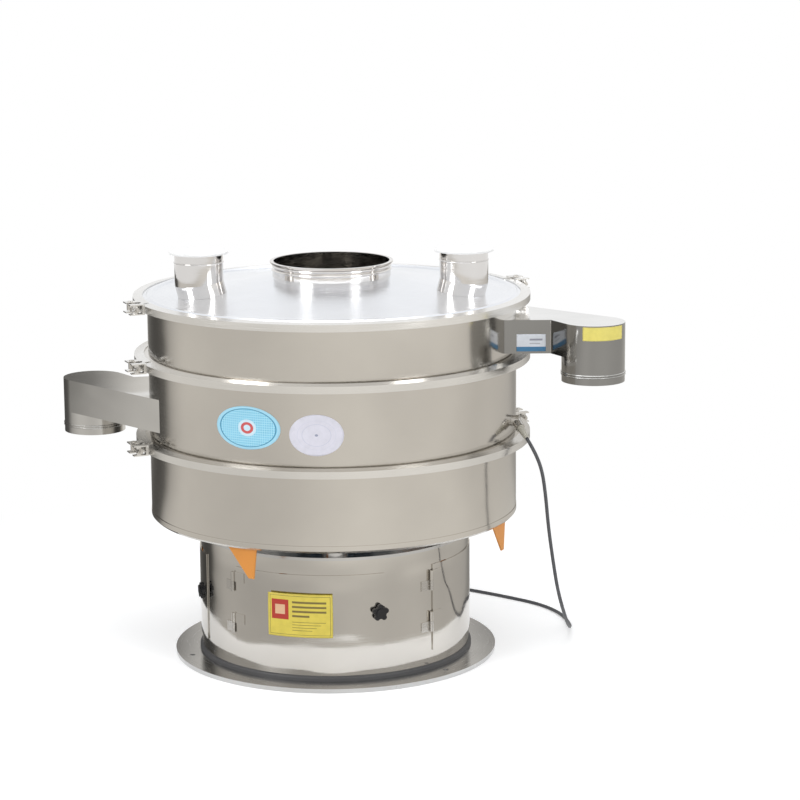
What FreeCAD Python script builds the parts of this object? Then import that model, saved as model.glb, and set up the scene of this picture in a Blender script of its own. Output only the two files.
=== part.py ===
"""Vibrating sieve, nominal one metre, single deck with ultrasonic mesh.

A spring-borne deck of three frames and a lid, held together by V-clamp bands,
stands on a round base with four service doors. A vertical motor with two
unbalanced weights hangs in the middle and shakes the deck.

Frame: origin at the centre of the foot ring on the floor, +Z up, the front
door towards -Y, the oversize outlet towards +X, the fines outlet towards -X.
Azimuths are degrees from +X, counterclockwise seen from above.
"""

import FreeCAD, Part
import math
import os
import Sketcher
from FreeCAD import Placement, Rotation, Vector

doc = FreeCAD.newDocument("vibrating_sieve")

# Driving sizes, in millimetres and degrees. Each is a cell of the sheet.
SIZES = {
    # foot and base drum
    "foot_flange": (74, "foot ring outside the drum"),
    "foot_inset": (39, "foot ring inside the drum's outer face"),
    "foot_thickness": (12, "foot ring plate"),
    "foot_bolt_offset": (39.5, "bolt circle outside the drum"),
    "foot_bolt_hole": (14, "floor bolt hole diameter"),
    "foot_bolt_azimuth": (76, "first floor bolt"),
    "foot_bolt_count": (3, "floor bolts"),
    "bead_width": (7, "sealing bead at the foot of the drum"),
    "bead_height": (13, "sealing bead at the foot of the drum"),
    "drum_radius": (369, "outside of the base drum"),
    "drum_wall": (3, "sheet of the base drum"),
    "drum_top": (340, "top edge of the base drum"),
    "door_first_azimuth": (257.4, "middle of the front door"),
    "door_count": (4, "doors round the drum"),
    "door_span": (66, "angle covered by a door"),
    "door_lap": (3, "angle by which a door laps its window, each side"),
    "door_bottom": (62, "lower edge of the doors"),
    "door_headroom": (40, "drum above the doors"),
    "door_lap_height": (13, "height by which a door laps its window"),
    "door_sheet": (3, "sheet of the doors"),
    "door_gap": (0.4, "gap between a door and the drum"),
    "hinge_air": (1.5, "knuckle clear of the drum"),
    "hinge_setback": (1.2, "angle from the door's edge to its hinge axis"),
    "knuckle_radius": (5, "hinge knuckle"),
    "hinge_pin_radius": (2.5, "hinge pin"),
    "knuckle_height": (27, "one knuckle"),
    "hinge_rise": (55, "lower hinge above the door's lower edge"),
    "hinge_drop": (69, "foot of the upper hinge below the door's upper edge"),
    "leaf_sheet": (2, "hinge leaf"),
    "leaf_angle": (5, "angle covered by a hinge leaf"),
    "knob_radius": (23, "star knob"),
    "knob_height": (17, "star knob"),
    "knob_lobes": (5, "lobes of a star knob"),
    "knob_stud_radius": (4, "stud of a star knob"),
    "knob_rise": (134, "star knobs above the doors' lower edge"),
    "knob_inset": (2.4, "angle from a door's free edge to its knob"),
    "tapping": (0.4, "tapped hole in the drum, smaller than the stud"),
    "motor_gland_azimuth": (122.4, "gland of the motor's cable"),
    "motor_gland_level": (60, "gland of the motor's cable"),
    "running_gap": (0.1, "radial play of a turning fit"),
    "seat_gap": (0.3, "gap of a loose seat"),
    # springs
    "spring_plate_width": (84, "spring plate inside the drum's outer face"),
    "spring_plate_thickness": (8, "spring plate"),
    "spring_inset": (39, "springs inside the drum's outer face"),
    "spring_count": (6, "support springs"),
    "spring_radius": (25, "mean coil radius"),
    "spring_wire": (9, "wire diameter"),
    "spring_turns": (4, "turns"),
    "cup_play": (1.5, "spring clear of its cup"),
    "cup_wall": (3, "wall of a spring cup"),
    "cup_height": (12, "depth of a spring cup"),
    # frames and clamp bands
    "frame_radius": (500, "outside of the sieve frames"),
    "frame_wall": (3, "sheet of the sieve frames"),
    "skirt_drop": (47, "deck's lowest edge below the motor plate"),
    "rim_height": (21, "rim under the motor frame"),
    "rim_bevel": (6, "sloped corner of the rim"),
    "rim_lip": (4, "level lip inside that corner"),
    "seam_depth": (1.8, "groove between the rim and the frame"),
    "motor_frame_height": (215, "skirt foot to the lower joint"),
    "middle_frame_height": (221, "lower joint to the mesh joint"),
    "top_frame_height": (158.5, "mesh joint to the lid joint"),
    "flange_width": (27, "clamp flange outside the frame"),
    "flange_lip": (7.6, "half height of a closed joint at its edge"),
    "flange_root": (10.5, "half height of a closed joint at the wall"),
    "gasket": (3, "silicone gasket"),
    "mesh_gasket": (6, "gasket that holds the mesh frame's rim"),
    "band_over": (11, "clamp band outside the flange"),
    "band_sheet": (2.5, "sheet of a clamp band"),
    "band_inset": (15, "edge of the band's flanks inside the flange"),
    "band_half": (9.5, "half height of a clamp band"),
    "band_web": (7, "half height of the room inside its web"),
    "band_flank": (12.2, "half height over its flared edges"),
    "band_split": (20, "azimuth where a band is split"),
    "band_gap": (16, "gap between the band's halves"),
    "lug_reach": (36, "clamp lug outside the band"),
    "lug_start": (12, "clamp lug from the split"),
    "lug_end": (40, "clamp lug from the split"),
    "lug_sheet": (3, "plate of a clamp lug"),
    "lug_play": (3, "eye bolt clear of each plate of a lug"),
    "pivot_reach": (20, "clamp pivots outside the band"),
    "pivot_offset": (27, "pivot from the split"),
    "pivot_radius": (4, "pivot pin of an eye bolt"),
    "pivot_head": (6.5, "head of a pivot pin"),
    "trunnion_offset": (22, "slotted post from the split"),
    "trunnion_radius": (8, "slotted post"),
    "bolt_radius": (4, "shank of an eye bolt"),
    "bolt_play": (0.8, "slot clear of the shank, each side"),
    "eye_radius": (9.5, "eye of an eye bolt"),
    "eye_height": (16, "eye of an eye bolt"),
    "nut_radius": (7.6, "clamp nut over its corners"),
    "nut_height": (8, "clamp nut"),
    "shank_over": (8, "shank beyond the nut"),
    # outlets
    "chute_wall": (3, "sheet of the outlets"),
    "chute_height": (90, "height of an outlet's box"),
    "spout_radius": (84, "outside of a spout"),
    "spout_wall": (4, "sheet of a spout"),
    "spout_bead": (4, "bead round a spout"),
    "spout_bead_level": (22, "bead above the spout's mouth"),
    "corner_back": (113, "box corner before the spout's middle"),
    "corner_side": (10, "box corner beside the spout's middle"),
    "near_inset": (60, "inner end of the near side inside the frame"),
    "near_side": (67, "offset of the near side at its inner end"),
    "oversize_length": (228, "oversize spout outside the frame"),
    "oversize_azimuth": (-19.1, "direction of the oversize spout"),
    "oversize_drop": (68, "oversize spout below its box"),
    "oversize_floor": (29, "oversize box above the mesh joint"),
    "oversize_far_inset": (97, "inner end of the oversize far side inside the frame"),
    "oversize_far_side": (229.5, "offset of the oversize far side"),
    "fines_length": (184, "fines spout outside the frame"),
    "fines_azimuth": (166.5, "direction of the fines spout"),
    "fines_drop": (60, "fines spout below its box"),
    "fines_floor": (42, "fines box above the lower joint"),
    "fines_far_inset": (150, "inner end of the fines far side inside the frame"),
    "fines_far_side": (331.3, "offset of the fines far side"),
    "weld_gap": (0.2, "gap at a welded seat"),
    # lid, inlet and ports
    "lid_sheet": (2.5, "sheet of the lid"),
    "lid_ridge": (3, "ridge at the lid's edge over the joint"),
    "lid_crown": (45, "inlet's foot above the lid's edge"),
    "lid_curve": (2400, "radius of the lid's crown"),
    "neck_radius": (160, "outside of the inlet neck"),
    "neck_wall": (3, "sheet of the inlet neck"),
    "neck_height": (85, "top of the inlet rim above the lid's edge"),
    "neck_rim_width": (7, "inlet rim outside the neck"),
    "neck_bead": (4, "bead round the inlet neck"),
    "port_inset": (130, "ports inside the frame"),
    "port_azimuth": (17.3, "ports forward of the sideways line"),
    "port_radius": (65, "outside of a port pipe"),
    "port_wall": (3, "sheet of a port pipe"),
    "port_height": (123, "top of the port pipes above the lid's edge"),
    "port_bead": (3.5, "bead round a port pipe"),
    "port_bead_drop": (23, "bead below the top of a port"),
    "port_tilt": (14, "lean of a port's collar"),
    "mitre_height": (45, "mitre on a port's axis above the lid's edge"),
    "cap_lap": (14, "white cap outside its port"),
    "cap_thickness": (6, "white cap of a port"),
    "cap_plug": (24, "depth of a cap's plug"),
    "cap_wall": (3, "wall of a cap's plug"),
    # inside the frames
    "ledge_level": (34, "dome ledge above the lower joint"),
    "ledge_width": (24, "dome ledge"),
    "dome_sheet": (3, "sheet of the dome"),
    "dome_rise": (42, "rise of the dome"),
    "hoop_inset": (16, "mesh frame hoop inside the frame"),
    "hoop_height": (25, "mesh frame hoop"),
    "hoop_wall": (3, "mesh frame hoop"),
    "mesh_rim_width": (16, "clamped rim of the mesh frame outside the frame"),
    "mesh_rim_sheet": (2, "clamped rim of the mesh frame"),
    "mesh_thickness": (1, "woven mesh with its glue line"),
    "resonance_radius": (212, "resonance ring"),
    "resonance_width": (14, "resonance ring"),
    "resonance_height": (10, "resonance ring"),
    "transducer_radius": (32, "ultrasonic transducer"),
    "transducer_height": (48, "ultrasonic transducer"),
    "lead_radius": (4, "inner lead of the transducer"),
    "lead_azimuth": (-16, "direction of the lead and its socket"),
    # motor
    "spring_height": (92, "spring plate to motor plate"),
    "plate_thickness": (6, "motor plate"),
    "plate_hole": (122, "hole for the motor"),
    "collar_inset": (2, "collar inside the motor flange"),
    "collar_height": (70, "collar on the motor plate"),
    "rib_count": (6, "ribs on the motor plate"),
    "rib_sheet": (6, "rib"),
    "motor_radius": (104, "motor body over its fins"),
    "fin_depth": (10, "depth of the cooling fins"),
    "motor_fins": (20, "cooling fins"),
    "fin_width": (5, "cooling fin"),
    "motor_flange": (158, "motor flange"),
    "motor_flange_thickness": (14, "motor flange"),
    "motor_drop": (250, "lower end of the motor body below the motor plate"),
    "motor_rise": (60, "upper end of the motor body above the motor plate's underside"),
    "motor_bolt_radius": (6, "motor bolt"),
    "motor_bolt_inset": (22, "motor bolts inside the flange"),
    "motor_bolt_count": (6, "motor bolts"),
    "shaft_radius": (22, "motor shaft"),
    "shaft_drop": (94, "shaft below the motor body"),
    "shaft_rise": (60, "shaft above the motor body"),
    "weight_radius": (104, "unbalanced weights"),
    "weight_hub": (40, "hub of a weight"),
    "weight_angle": (150, "angle of a weight"),
    "upper_weight_rise": (14, "foot of the upper weight above the motor body"),
    "upper_weight_height": (34, "upper weight"),
    "lower_weight_rise": (16, "foot of the lower weight above the shaft's end"),
    "lower_weight_height": (42, "lower weight"),
    # transport brackets
    "bracket_inset": (16, "transport brackets inside the frame"),
    "bracket_sheet": (4, "plate of a transport bracket"),
    "bracket_width": (112, "top edge of a bracket"),
    "bracket_drop": (128, "lowest point of a bracket below the motor plate"),
    "bracket_toe": (16, "foot of a bracket"),
    "bracket_shelf": (34, "inward shelf of a bracket"),
    "bracket_azimuth": (59, "first transport bracket"),
    "bracket_pair": (96, "angle between the brackets of a pair"),
    # signal cable
    "cable_radius": (4.75, "signal cable"),
    "coil_radius": (52.5, "middle of the put-away coil's turns"),
    "coil_tail": (45, "straight ends of the coil"),
    "plug_radius": (9, "plug on the far end"),
    "plug_length": (46, "plug on the far end"),
}


class Size:
    """A number that knows the sheet expression which gives it."""

    def __init__(self, value, text):
        self.value = float(value)
        self.text = text

    def __add__(self, other):
        other = as_size(other)
        return Size(self.value + other.value, f"({self.text} + {other.text})")

    def __sub__(self, other):
        other = as_size(other)
        return Size(self.value - other.value, f"({self.text} - {other.text})")

    def __mul__(self, other):
        other = as_size(other)
        return Size(self.value * other.value, f"({self.text} * {other.text})")

    def __truediv__(self, other):
        other = as_size(other)
        return Size(self.value / other.value, f"({self.text} / {other.text})")

    def __neg__(self):
        return Size(-self.value, f"(0 - {self.text})")

    def __radd__(self, other):
        return as_size(other) + self

    def __rsub__(self, other):
        return as_size(other) - self

    def __rmul__(self, other):
        return as_size(other) * self


def as_size(number):
    return number if isinstance(number, Size) else Size(number, f"{float(number)}")


class Sizes:
    """The sheet's cells, read by name: foot_radius and so on."""

    def __init__(self, table):
        sheet = doc.addObject("Spreadsheet::Sheet", "Sizes")
        for row, (name, (value, meaning)) in enumerate(table.items(), 1):
            sheet.set(f"A{row}", name)
            sheet.set(f"B{row}", str(value))
            sheet.set(f"C{row}", meaning)
            sheet.setAlias(f"B{row}", name)
        for name, (value, meaning) in table.items():
            setattr(self, name, Size(value, f"Sizes.{name}"))


S = Sizes(SIZES)
doc.recompute()


# Radii and levels that several pieces share, from the drum upwards
drum_inner = S.drum_radius - S.drum_wall
foot_radius = S.drum_radius + S.foot_flange
foot_inner_radius = S.drum_radius - S.foot_inset
foot_bolt_radius = S.drum_radius + S.foot_bolt_offset
door_inner = S.drum_radius + S.door_gap
door_outer = door_inner + S.door_sheet
door_top = S.drum_top - S.door_headroom
hinge_offset = S.knuckle_radius + S.hinge_air
hinge_low = S.door_bottom + S.hinge_rise
hinge_high = door_top - S.hinge_drop
knob_level = S.door_bottom + S.knob_rise
spring_plate_inner = S.drum_radius - S.spring_plate_width
spring_circle = S.drum_radius - S.spring_inset
spring_floor = S.drum_top + S.spring_plate_thickness
cup_radius = S.spring_radius + S.spring_wire / 2 + S.cup_play + S.cup_wall

plate_level = spring_floor + S.spring_height
plate_top = plate_level + S.plate_thickness
skirt_foot = plate_level - S.skirt_drop
lower_joint = skirt_foot + S.motor_frame_height
mesh_joint = lower_joint + S.middle_frame_height
lid_joint = mesh_joint + S.top_frame_height
lid_level = lid_joint + S.flange_root
neck_top = lid_level + S.neck_height
port_top = lid_level + S.port_height
port_bead_level = port_top - S.port_bead_drop
mitre_level = lid_level + S.mitre_height

frame_inner = S.frame_radius - S.frame_wall
flange_radius = S.frame_radius + S.flange_width
band_radius = flange_radius + S.band_over
band_inner = flange_radius - S.band_inset
lug_radius = band_radius + S.lug_reach
lug_half = S.eye_height / 2 + S.lug_play
clamp_radius = band_radius + S.pivot_reach
bolt_slot = (S.bolt_radius + S.bolt_play) * 2
near_reach = S.frame_radius - S.near_inset
oversize_reach = S.frame_radius + S.oversize_length
oversize_far_reach = S.frame_radius - S.oversize_far_inset
fines_reach = S.frame_radius + S.fines_length
fines_far_reach = S.frame_radius - S.fines_far_inset
port_reach = S.frame_radius - S.port_inset
cap_radius = S.port_radius + S.cap_lap
neck_rim = S.neck_radius + S.neck_rim_width
hoop_radius = S.frame_radius - S.hoop_inset
mesh_rim = S.frame_radius + S.mesh_rim_width

motor_core = S.motor_radius - S.fin_depth
collar_radius = S.motor_flange - S.collar_inset
motor_bolt_circle = S.motor_flange - S.motor_bolt_inset
motor_bottom = plate_level - S.motor_drop
motor_top = plate_level + S.motor_rise
shaft_bottom = motor_bottom - S.shaft_drop
shaft_top = motor_top + S.shaft_rise
upper_weight_level = motor_top + S.upper_weight_rise
lower_weight_level = shaft_bottom + S.lower_weight_rise
bracket_circle = S.frame_radius - S.bracket_inset
bracket_tip = plate_level - S.bracket_drop

finished = []


# ---------------------------------------------------------------- helpers


def bind(thing, name, size):
    """Set a property and tie it to the sheet."""
    size = as_size(size)
    thing.setExpression(name, size.text)


def finish(thing, name):
    """Name a sub-part and put it on the list of pieces to export."""
    thing.Label = name
    finished.append((name, thing))
    return thing


def put(thing, x=0, y=0, z=0, axis=Vector(0, 0, 1), angle=0):
    """Place a piece, with the place and the angle tied to the sheet."""
    x, y, z, angle = (as_size(number) for number in (x, y, z, angle))
    base = Vector(x.value, y.value, z.value)
    thing.Placement = Placement(base, Rotation(axis, angle.value))
    for name, size in (("x", x), ("y", y), ("z", z)):
        bind(thing, f"Placement.Base.{name}", size)
    if angle.value:
        bind(thing, "Placement.Rotation.Angle", angle)
    return thing


def new_body(name):
    return doc.addObject("PartDesign::Body", f"{name}_body")


def new_sketch(body, name, role="XY_Plane", level=None):
    """A sketch on one of the body's own origin planes, raised to a level."""
    sketch = body.newObject("Sketcher::SketchObject", name)
    plane = next(item for item in body.Origin.OriginFeatures if item.Role == role)
    sketch.AttachmentSupport = [(plane, "")]
    sketch.MapMode = "FlatFace"
    if level is not None:
        bind(sketch, "AttachmentOffset.Base.z", level)
    return sketch


def dimension(sketch, kind, first, second, size):
    """One horizontal or vertical dimension, kept positive for the solver."""
    size = as_size(size)
    if size.value < 0:
        first, second, size = second, first, -size
    if abs(size.value) < 1e-9:
        aligned = "Vertical" if kind == "DistanceX" else "Horizontal"
        sketch.addConstraint(Sketcher.Constraint(aligned, *first, *second))
        return
    index = sketch.addConstraint(Sketcher.Constraint(kind, *first, *second, size.value))
    sketch.setExpression(f"Constraints[{index}]", size.text)


ORIGIN_POINT = (-1, 1)


def fix_point(sketch, point, x, y):
    dimension(sketch, "DistanceX", ORIGIN_POINT, point, x)
    dimension(sketch, "DistanceY", ORIGIN_POINT, point, y)


def arc_between(start, end, radius, side):
    """The short arc from start to end; side 1 bulges to the left of the way."""
    middle = (start + end) * 0.5
    along = (end - start).normalize()
    left = Vector(-along.y, along.x, 0)
    half = start.distanceToPoint(end) / 2
    rise = radius - math.sqrt(radius * radius - half * half)
    return Part.Arc(start, middle + left * (side * rise), end)


def draw_outline(sketch, corners):
    """A closed outline. A corner is (x, y), or (x, y, radius, side) where an
    arc arrives at it."""
    corners = [tuple(as_size(number) for number in corner) for corner in corners]
    points = [Vector(corner[0].value, corner[1].value, 0) for corner in corners]
    starts, ends = [], []
    for index, corner in enumerate(corners):
        following = (index + 1) % len(corners)
        start, end, target = points[index], points[following], corners[following]
        if len(target) == 2:
            edge = sketch.addGeometry(Part.LineSegment(start, end), False)
            starts.append((edge, 1))
            ends.append((edge, 2))
            continue
        side = target[3].value
        arc = arc_between(start, end, target[2].value, side)
        edge = sketch.addGeometry(arc, False)
        forward = sketch.getPoint(edge, 1).distanceToPoint(start) < 1e-6
        starts.append((edge, 1 if forward else 2))
        ends.append((edge, 2 if forward else 1))
        radius = sketch.addConstraint(Sketcher.Constraint("Radius", edge, target[2].value))
        sketch.setExpression(f"Constraints[{radius}]", target[2].text)
    for index, corner in enumerate(corners):
        sketch.addConstraint(Sketcher.Constraint("Coincident", *ends[index - 1], *starts[index]))
        fix_point(sketch, starts[index], corner[0], corner[1])


def draw_circle(sketch, x, y, radius):
    x, y, radius = as_size(x), as_size(y), as_size(radius)
    circle = Part.Circle(Vector(x.value, y.value, 0), Vector(0, 0, 1), radius.value)
    edge = sketch.addGeometry(circle, False)
    index = sketch.addConstraint(Sketcher.Constraint("Radius", edge, radius.value))
    sketch.setExpression(f"Constraints[{index}]", radius.text)
    if x.value == 0 and y.value == 0:
        sketch.addConstraint(Sketcher.Constraint("Coincident", edge, 3, *ORIGIN_POINT))
    else:
        fix_point(sketch, (edge, 3), x, y)


def revolve(body, name, corners, angle=360):
    """Turn an outline of (radius, level) corners about the upright axis."""
    sketch = new_sketch(body, f"{name}_profile", "XZ_Plane")
    draw_outline(sketch, corners)
    turned = body.newObject("PartDesign::Revolution", f"{name}_revolution")
    turned.Profile = sketch
    turned.ReferenceAxis = (sketch, ["V_Axis"])
    turned.Angle = angle
    sketch.Visibility = False
    return turned


def pad(body, name, sketch, length, midplane=False):
    """Raise a sketch by a length, or by half of it to each side."""
    padded = body.newObject("PartDesign::Pad", f"{name}_pad")
    padded.Profile = sketch
    padded.Midplane = midplane
    padded.Length = as_size(length).value
    bind(padded, "Length", length)
    return padded


def pocket(body, name, sketch, length, midplane=True, upwards=False):
    """Cut a sketch into the body; a pocket cuts downwards unless told."""
    cut = body.newObject("PartDesign::Pocket", f"{name}_pocket")
    cut.Profile = sketch
    cut.Midplane = midplane
    cut.Reversed = upwards
    cut.Length = as_size(length).value
    bind(cut, "Length", length)
    return cut


def polar(body, name, feature, count, role="Z_Axis"):
    """Repeat a feature round one of the body's own axes."""
    pattern = body.newObject("PartDesign::PolarPattern", f"{name}_pattern")
    axis = next(item for item in body.Origin.OriginFeatures if item.Role == role)
    pattern.Originals = [feature]
    pattern.Axis = (axis, [""])
    pattern.Angle = 360
    pattern.Occurrences = int(as_size(count).value)
    bind(pattern, "Occurrences", count)
    body.Tip = pattern
    return pattern


def revolved_piece(name, corners):
    body = new_body(name)
    revolve(body, name, corners)
    return finish(body, name)


def primitive(kind, name, **sizes):
    thing = doc.addObject(f"Part::{kind}", name)
    for prop, size in sizes.items():
        bind(thing, prop, size)
    return thing


def join(name, *things):
    fused = doc.addObject("Part::MultiFuse", name)
    fused.Shapes = list(things)
    return fused


def cut(name, base, *tools):
    tool = tools[0] if len(tools) == 1 else join(f"{name}_tools", *tools)
    difference = doc.addObject("Part::Cut", name)
    difference.Base = base
    difference.Tool = tool
    return difference


def group(name, *things):
    """Separate solids that share one node."""
    together = doc.addObject("Part::Compound", name)
    together.Links = list(things)
    return together


def polar_x(radius, azimuth):
    """A point's x from its radius and azimuth, still tied to the sheet."""
    radius, azimuth = as_size(radius), as_size(azimuth)
    value = radius.value * math.cos(math.radians(azimuth.value))
    return Size(value, f"({radius.text} * cos({azimuth.text}))")


def polar_y(radius, azimuth):
    radius, azimuth = as_size(radius), as_size(azimuth)
    value = radius.value * math.sin(math.radians(azimuth.value))
    return Size(value, f"({radius.text} * sin({azimuth.text}))")


def tube(name, outer, inner, height, level):
    """An upright ring from two radii, its height and the level of its foot."""
    body = new_body(name)
    sketch = new_sketch(body, f"{name}_plan", level=level)
    draw_circle(sketch, 0, 0, outer)
    draw_circle(sketch, 0, 0, inner)
    pad(body, name, sketch, height)
    return body


# ---------------------------------------------------------------- base


def make_foot_ring():
    body = tube("foot_ring", foot_radius, foot_inner_radius, S.foot_thickness, 0)
    holes = new_sketch(body, "foot_hole_plan")
    draw_circle(holes, foot_bolt_radius, 0, S.foot_bolt_hole / 2)
    hole = pocket(body, "foot_hole", holes, S.foot_thickness * 3)
    polar(body, "foot_hole", hole, S.foot_bolt_count)
    put(body, angle=S.foot_bolt_azimuth)
    finish(body, "foot_ring")


def sector(inner, outer, start, end):
    """Corners of an arc-shaped strip between two azimuths."""
    return [
        (polar_x(inner, start), polar_y(inner, start), inner, 1),
        (polar_x(outer, start), polar_y(outer, start)),
        (polar_x(outer, end), polar_y(outer, end), outer, -1),
        (polar_x(inner, end), polar_y(inner, end)),
    ]


def sector_pad(body, name, corners, level, height):
    sketch = new_sketch(body, f"{name}_plan", level=level)
    draw_outline(sketch, corners)
    return pad(body, name, sketch, height)


def sector_pocket(body, name, corners, level, height):
    sketch = new_sketch(body, f"{name}_plan", level=level)
    draw_outline(sketch, corners)
    return pocket(body, name, sketch, height, midplane=False, upwards=True)


def rectangle(left, right, bottom, top):
    return [(left, bottom), (right, bottom), (right, top), (left, top)]


def turn(count, index):
    """The angle of one of several equal steps round the machine."""
    return Size(360, "360") / count * index


# Azimuths on a door, whose own +X runs through its knob
door_free = S.knob_inset
door_hung = S.knob_inset - S.door_span
door_hinge = door_hung - S.hinge_setback
window_start = door_hung + S.door_lap
window_end = door_free - S.door_lap
first_knob = S.door_first_azimuth + S.door_span / 2 - S.knob_inset
hinge_circle = S.drum_radius + hinge_offset


def make_base_drum():
    body = tube("base_drum", S.drum_radius, drum_inner, S.drum_top - S.foot_thickness, S.foot_thickness)
    window = sector_pocket(
        body, "drum_window",
        sector(drum_inner - 10, S.drum_radius + 10, window_start, window_end),
        S.door_bottom + S.door_lap_height,
        door_top - S.door_bottom - S.door_lap_height * 2)
    polar(body, "drum_window", window, S.door_count)
    hole = new_sketch(body, "stud_hole_plan", "YZ_Plane", level=S.drum_radius - S.drum_wall * 2)
    draw_circle(hole, 0, knob_level, S.knob_stud_radius - S.tapping)
    tapped = pocket(body, "stud_hole", hole, S.drum_wall * 3, midplane=False, upwards=True)
    polar(body, "stud_hole", tapped, S.door_count)
    put(body, angle=first_knob)
    finish(body, "base_drum")


def make_foot_bead():
    top = S.foot_thickness + S.bead_height
    edge = S.drum_radius + S.bead_width
    revolved_piece("foot_bead", [
        (S.drum_radius, S.foot_thickness),
        (edge, S.foot_thickness),
        (edge, S.foot_thickness + S.bead_height - S.bead_width),
        (S.drum_radius, top, S.bead_width, -1),
    ])


def make_spring_plate():
    outer = S.drum_radius + 2
    body = tube("spring_plate", outer, spring_plate_inner, S.spring_plate_thickness, S.drum_top)
    add_spring_cups(body, "lower_cup", spring_floor - 1)
    finish(body, "spring_plate")


def add_spring_cups(body, name, level):
    """Cups that hold the ends of the springs, one between every two ribs."""
    sketch = new_sketch(body, f"{name}_plan", level=level)
    azimuth = turn(S.spring_count, 0.5)
    x, y = polar_x(spring_circle, azimuth), polar_y(spring_circle, azimuth)
    draw_circle(sketch, x, y, cup_radius)
    draw_circle(sketch, x, y, cup_radius - S.cup_wall)
    cup = pad(body, name, sketch, S.cup_height + 1)
    polar(body, name, cup, S.spring_count)


def hinge_levels():
    return (hinge_low, hinge_high)


def make_door_hinges():
    """Lift-off hinges: the lower knuckle with its pin and its leaf on the drum."""
    hinges = []
    for door in range(int(S.door_count.value)):
        for number, level in enumerate(hinge_levels()):
            hinges.append(make_fixed_hinge(f"hinge_{door}_{number}", level, door))
    finish(group("door_hinges", *hinges), "door_hinges")


def make_fixed_hinge(name, level, door):
    body = new_body(name)
    knuckle = new_sketch(body, f"{name}_knuckle", level=level)
    x, y = polar_x(hinge_circle, door_hinge), polar_y(hinge_circle, door_hinge)
    draw_circle(knuckle, x, y, S.knuckle_radius)
    pad(body, f"{name}_knuckle", knuckle, S.knuckle_height)
    sector_pad(
        body, f"{name}_leaf",
        sector(S.drum_radius, S.drum_radius + S.leaf_sheet, door_hinge - S.leaf_angle, door_hinge),
        level, S.knuckle_height)
    pin = new_sketch(body, f"{name}_pin", level=level)
    draw_circle(pin, x, y, S.hinge_pin_radius)
    pad(body, f"{name}_pin", pin, S.knuckle_height * 2 - 1)
    return put(body, angle=first_knob + turn(S.door_count, door))


def make_door(index):
    name = f"door_{index + 1}"
    body = new_body(name)
    sector_pad(
        body, f"{name}_plate",
        sector(door_inner, door_outer, door_hung, door_free),
        S.door_bottom, door_top - S.door_bottom)
    for number, foot in enumerate(hinge_levels()):
        level = foot + S.knuckle_height + S.seat_gap
        sector_pad(
            body, f"{name}_leaf_{number}",
            sector(door_outer - 0.5, door_outer + S.leaf_sheet, door_hinge, door_hung + S.leaf_angle),
            level, S.knuckle_height)
        knuckle = new_sketch(body, f"{name}_knuckle_{number}", level=level)
        x, y = polar_x(hinge_circle, door_hinge), polar_y(hinge_circle, door_hinge)
        draw_circle(knuckle, x, y, S.knuckle_radius)
        pad(body, f"{name}_knuckle_{number}", knuckle, S.knuckle_height)
        bore = new_sketch(body, f"{name}_bore_{number}", level=level)
        draw_circle(bore, x, y, S.hinge_pin_radius + S.running_gap)
        pocket(body, f"{name}_bore_{number}", bore, S.knuckle_height * 2 + 2)
    hole = new_sketch(body, f"{name}_knob_hole", "YZ_Plane", level=S.drum_radius)
    draw_circle(hole, 0, knob_level, S.knob_stud_radius + S.running_gap)
    pocket(body, f"{name}_knob_hole", hole, 40)
    put(body, angle=first_knob + turn(S.door_count, index))
    finish(body, name)


def make_door_knob(index):
    """A star knob drawn along its own +X, with its stud screwed back into the
    door's hole, clear of the tapped hole behind it."""
    name = f"door_knob_{index + 1}"
    face = door_outer + S.seat_gap
    body = new_body(name)
    stud = new_sketch(body, f"{name}_stud", "YZ_Plane", level=door_inner + S.weld_gap)
    draw_circle(stud, 0, 0, S.knob_stud_radius)
    pad(body, f"{name}_stud", stud, face + 2 - door_inner)
    hub = new_sketch(body, f"{name}_hub", "YZ_Plane", level=face)
    draw_circle(hub, 0, 0, S.knob_radius / 2)
    pad(body, f"{name}_hub", hub, S.knob_height)
    head = new_sketch(body, f"{name}_head", "YZ_Plane", level=face + S.knob_height * 0.25)
    draw_circle(head, 0, 0, S.knob_radius * 0.72)
    pad(body, f"{name}_head", head, S.knob_height * 0.6)
    lobe = new_sketch(body, f"{name}_lobe", "YZ_Plane", level=face + S.knob_height * 0.25)
    draw_circle(lobe, 0, S.knob_radius * 0.68, S.knob_radius * 0.32)
    lobe_pad = pad(body, f"{name}_lobe", lobe, S.knob_height * 0.6)
    polar(body, f"{name}_lobe", lobe_pad, S.knob_lobes, "X_Axis")
    put(body, z=knob_level, angle=first_knob + turn(S.door_count, index))
    finish(body, name)


def make_motor_cable_gland():
    """The empty gland of the motor's cable, on the back of the drum."""
    body = new_body("motor_cable_gland")
    steps = ((15, 0, 6), (11, 5, 10), (8.5, 14, 8))
    for number, (radius, start, length) in enumerate(steps):
        sketch = new_sketch(body, f"gland_step_{number}", "YZ_Plane", level=S.drum_radius + start)
        draw_circle(sketch, 0, S.motor_gland_level, radius)
        pad(body, f"gland_step_{number}", sketch, length)
    put(body, angle=S.motor_gland_azimuth)
    finish(body, "motor_cable_gland")


# ---------------------------------------------------------------- springs


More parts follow.
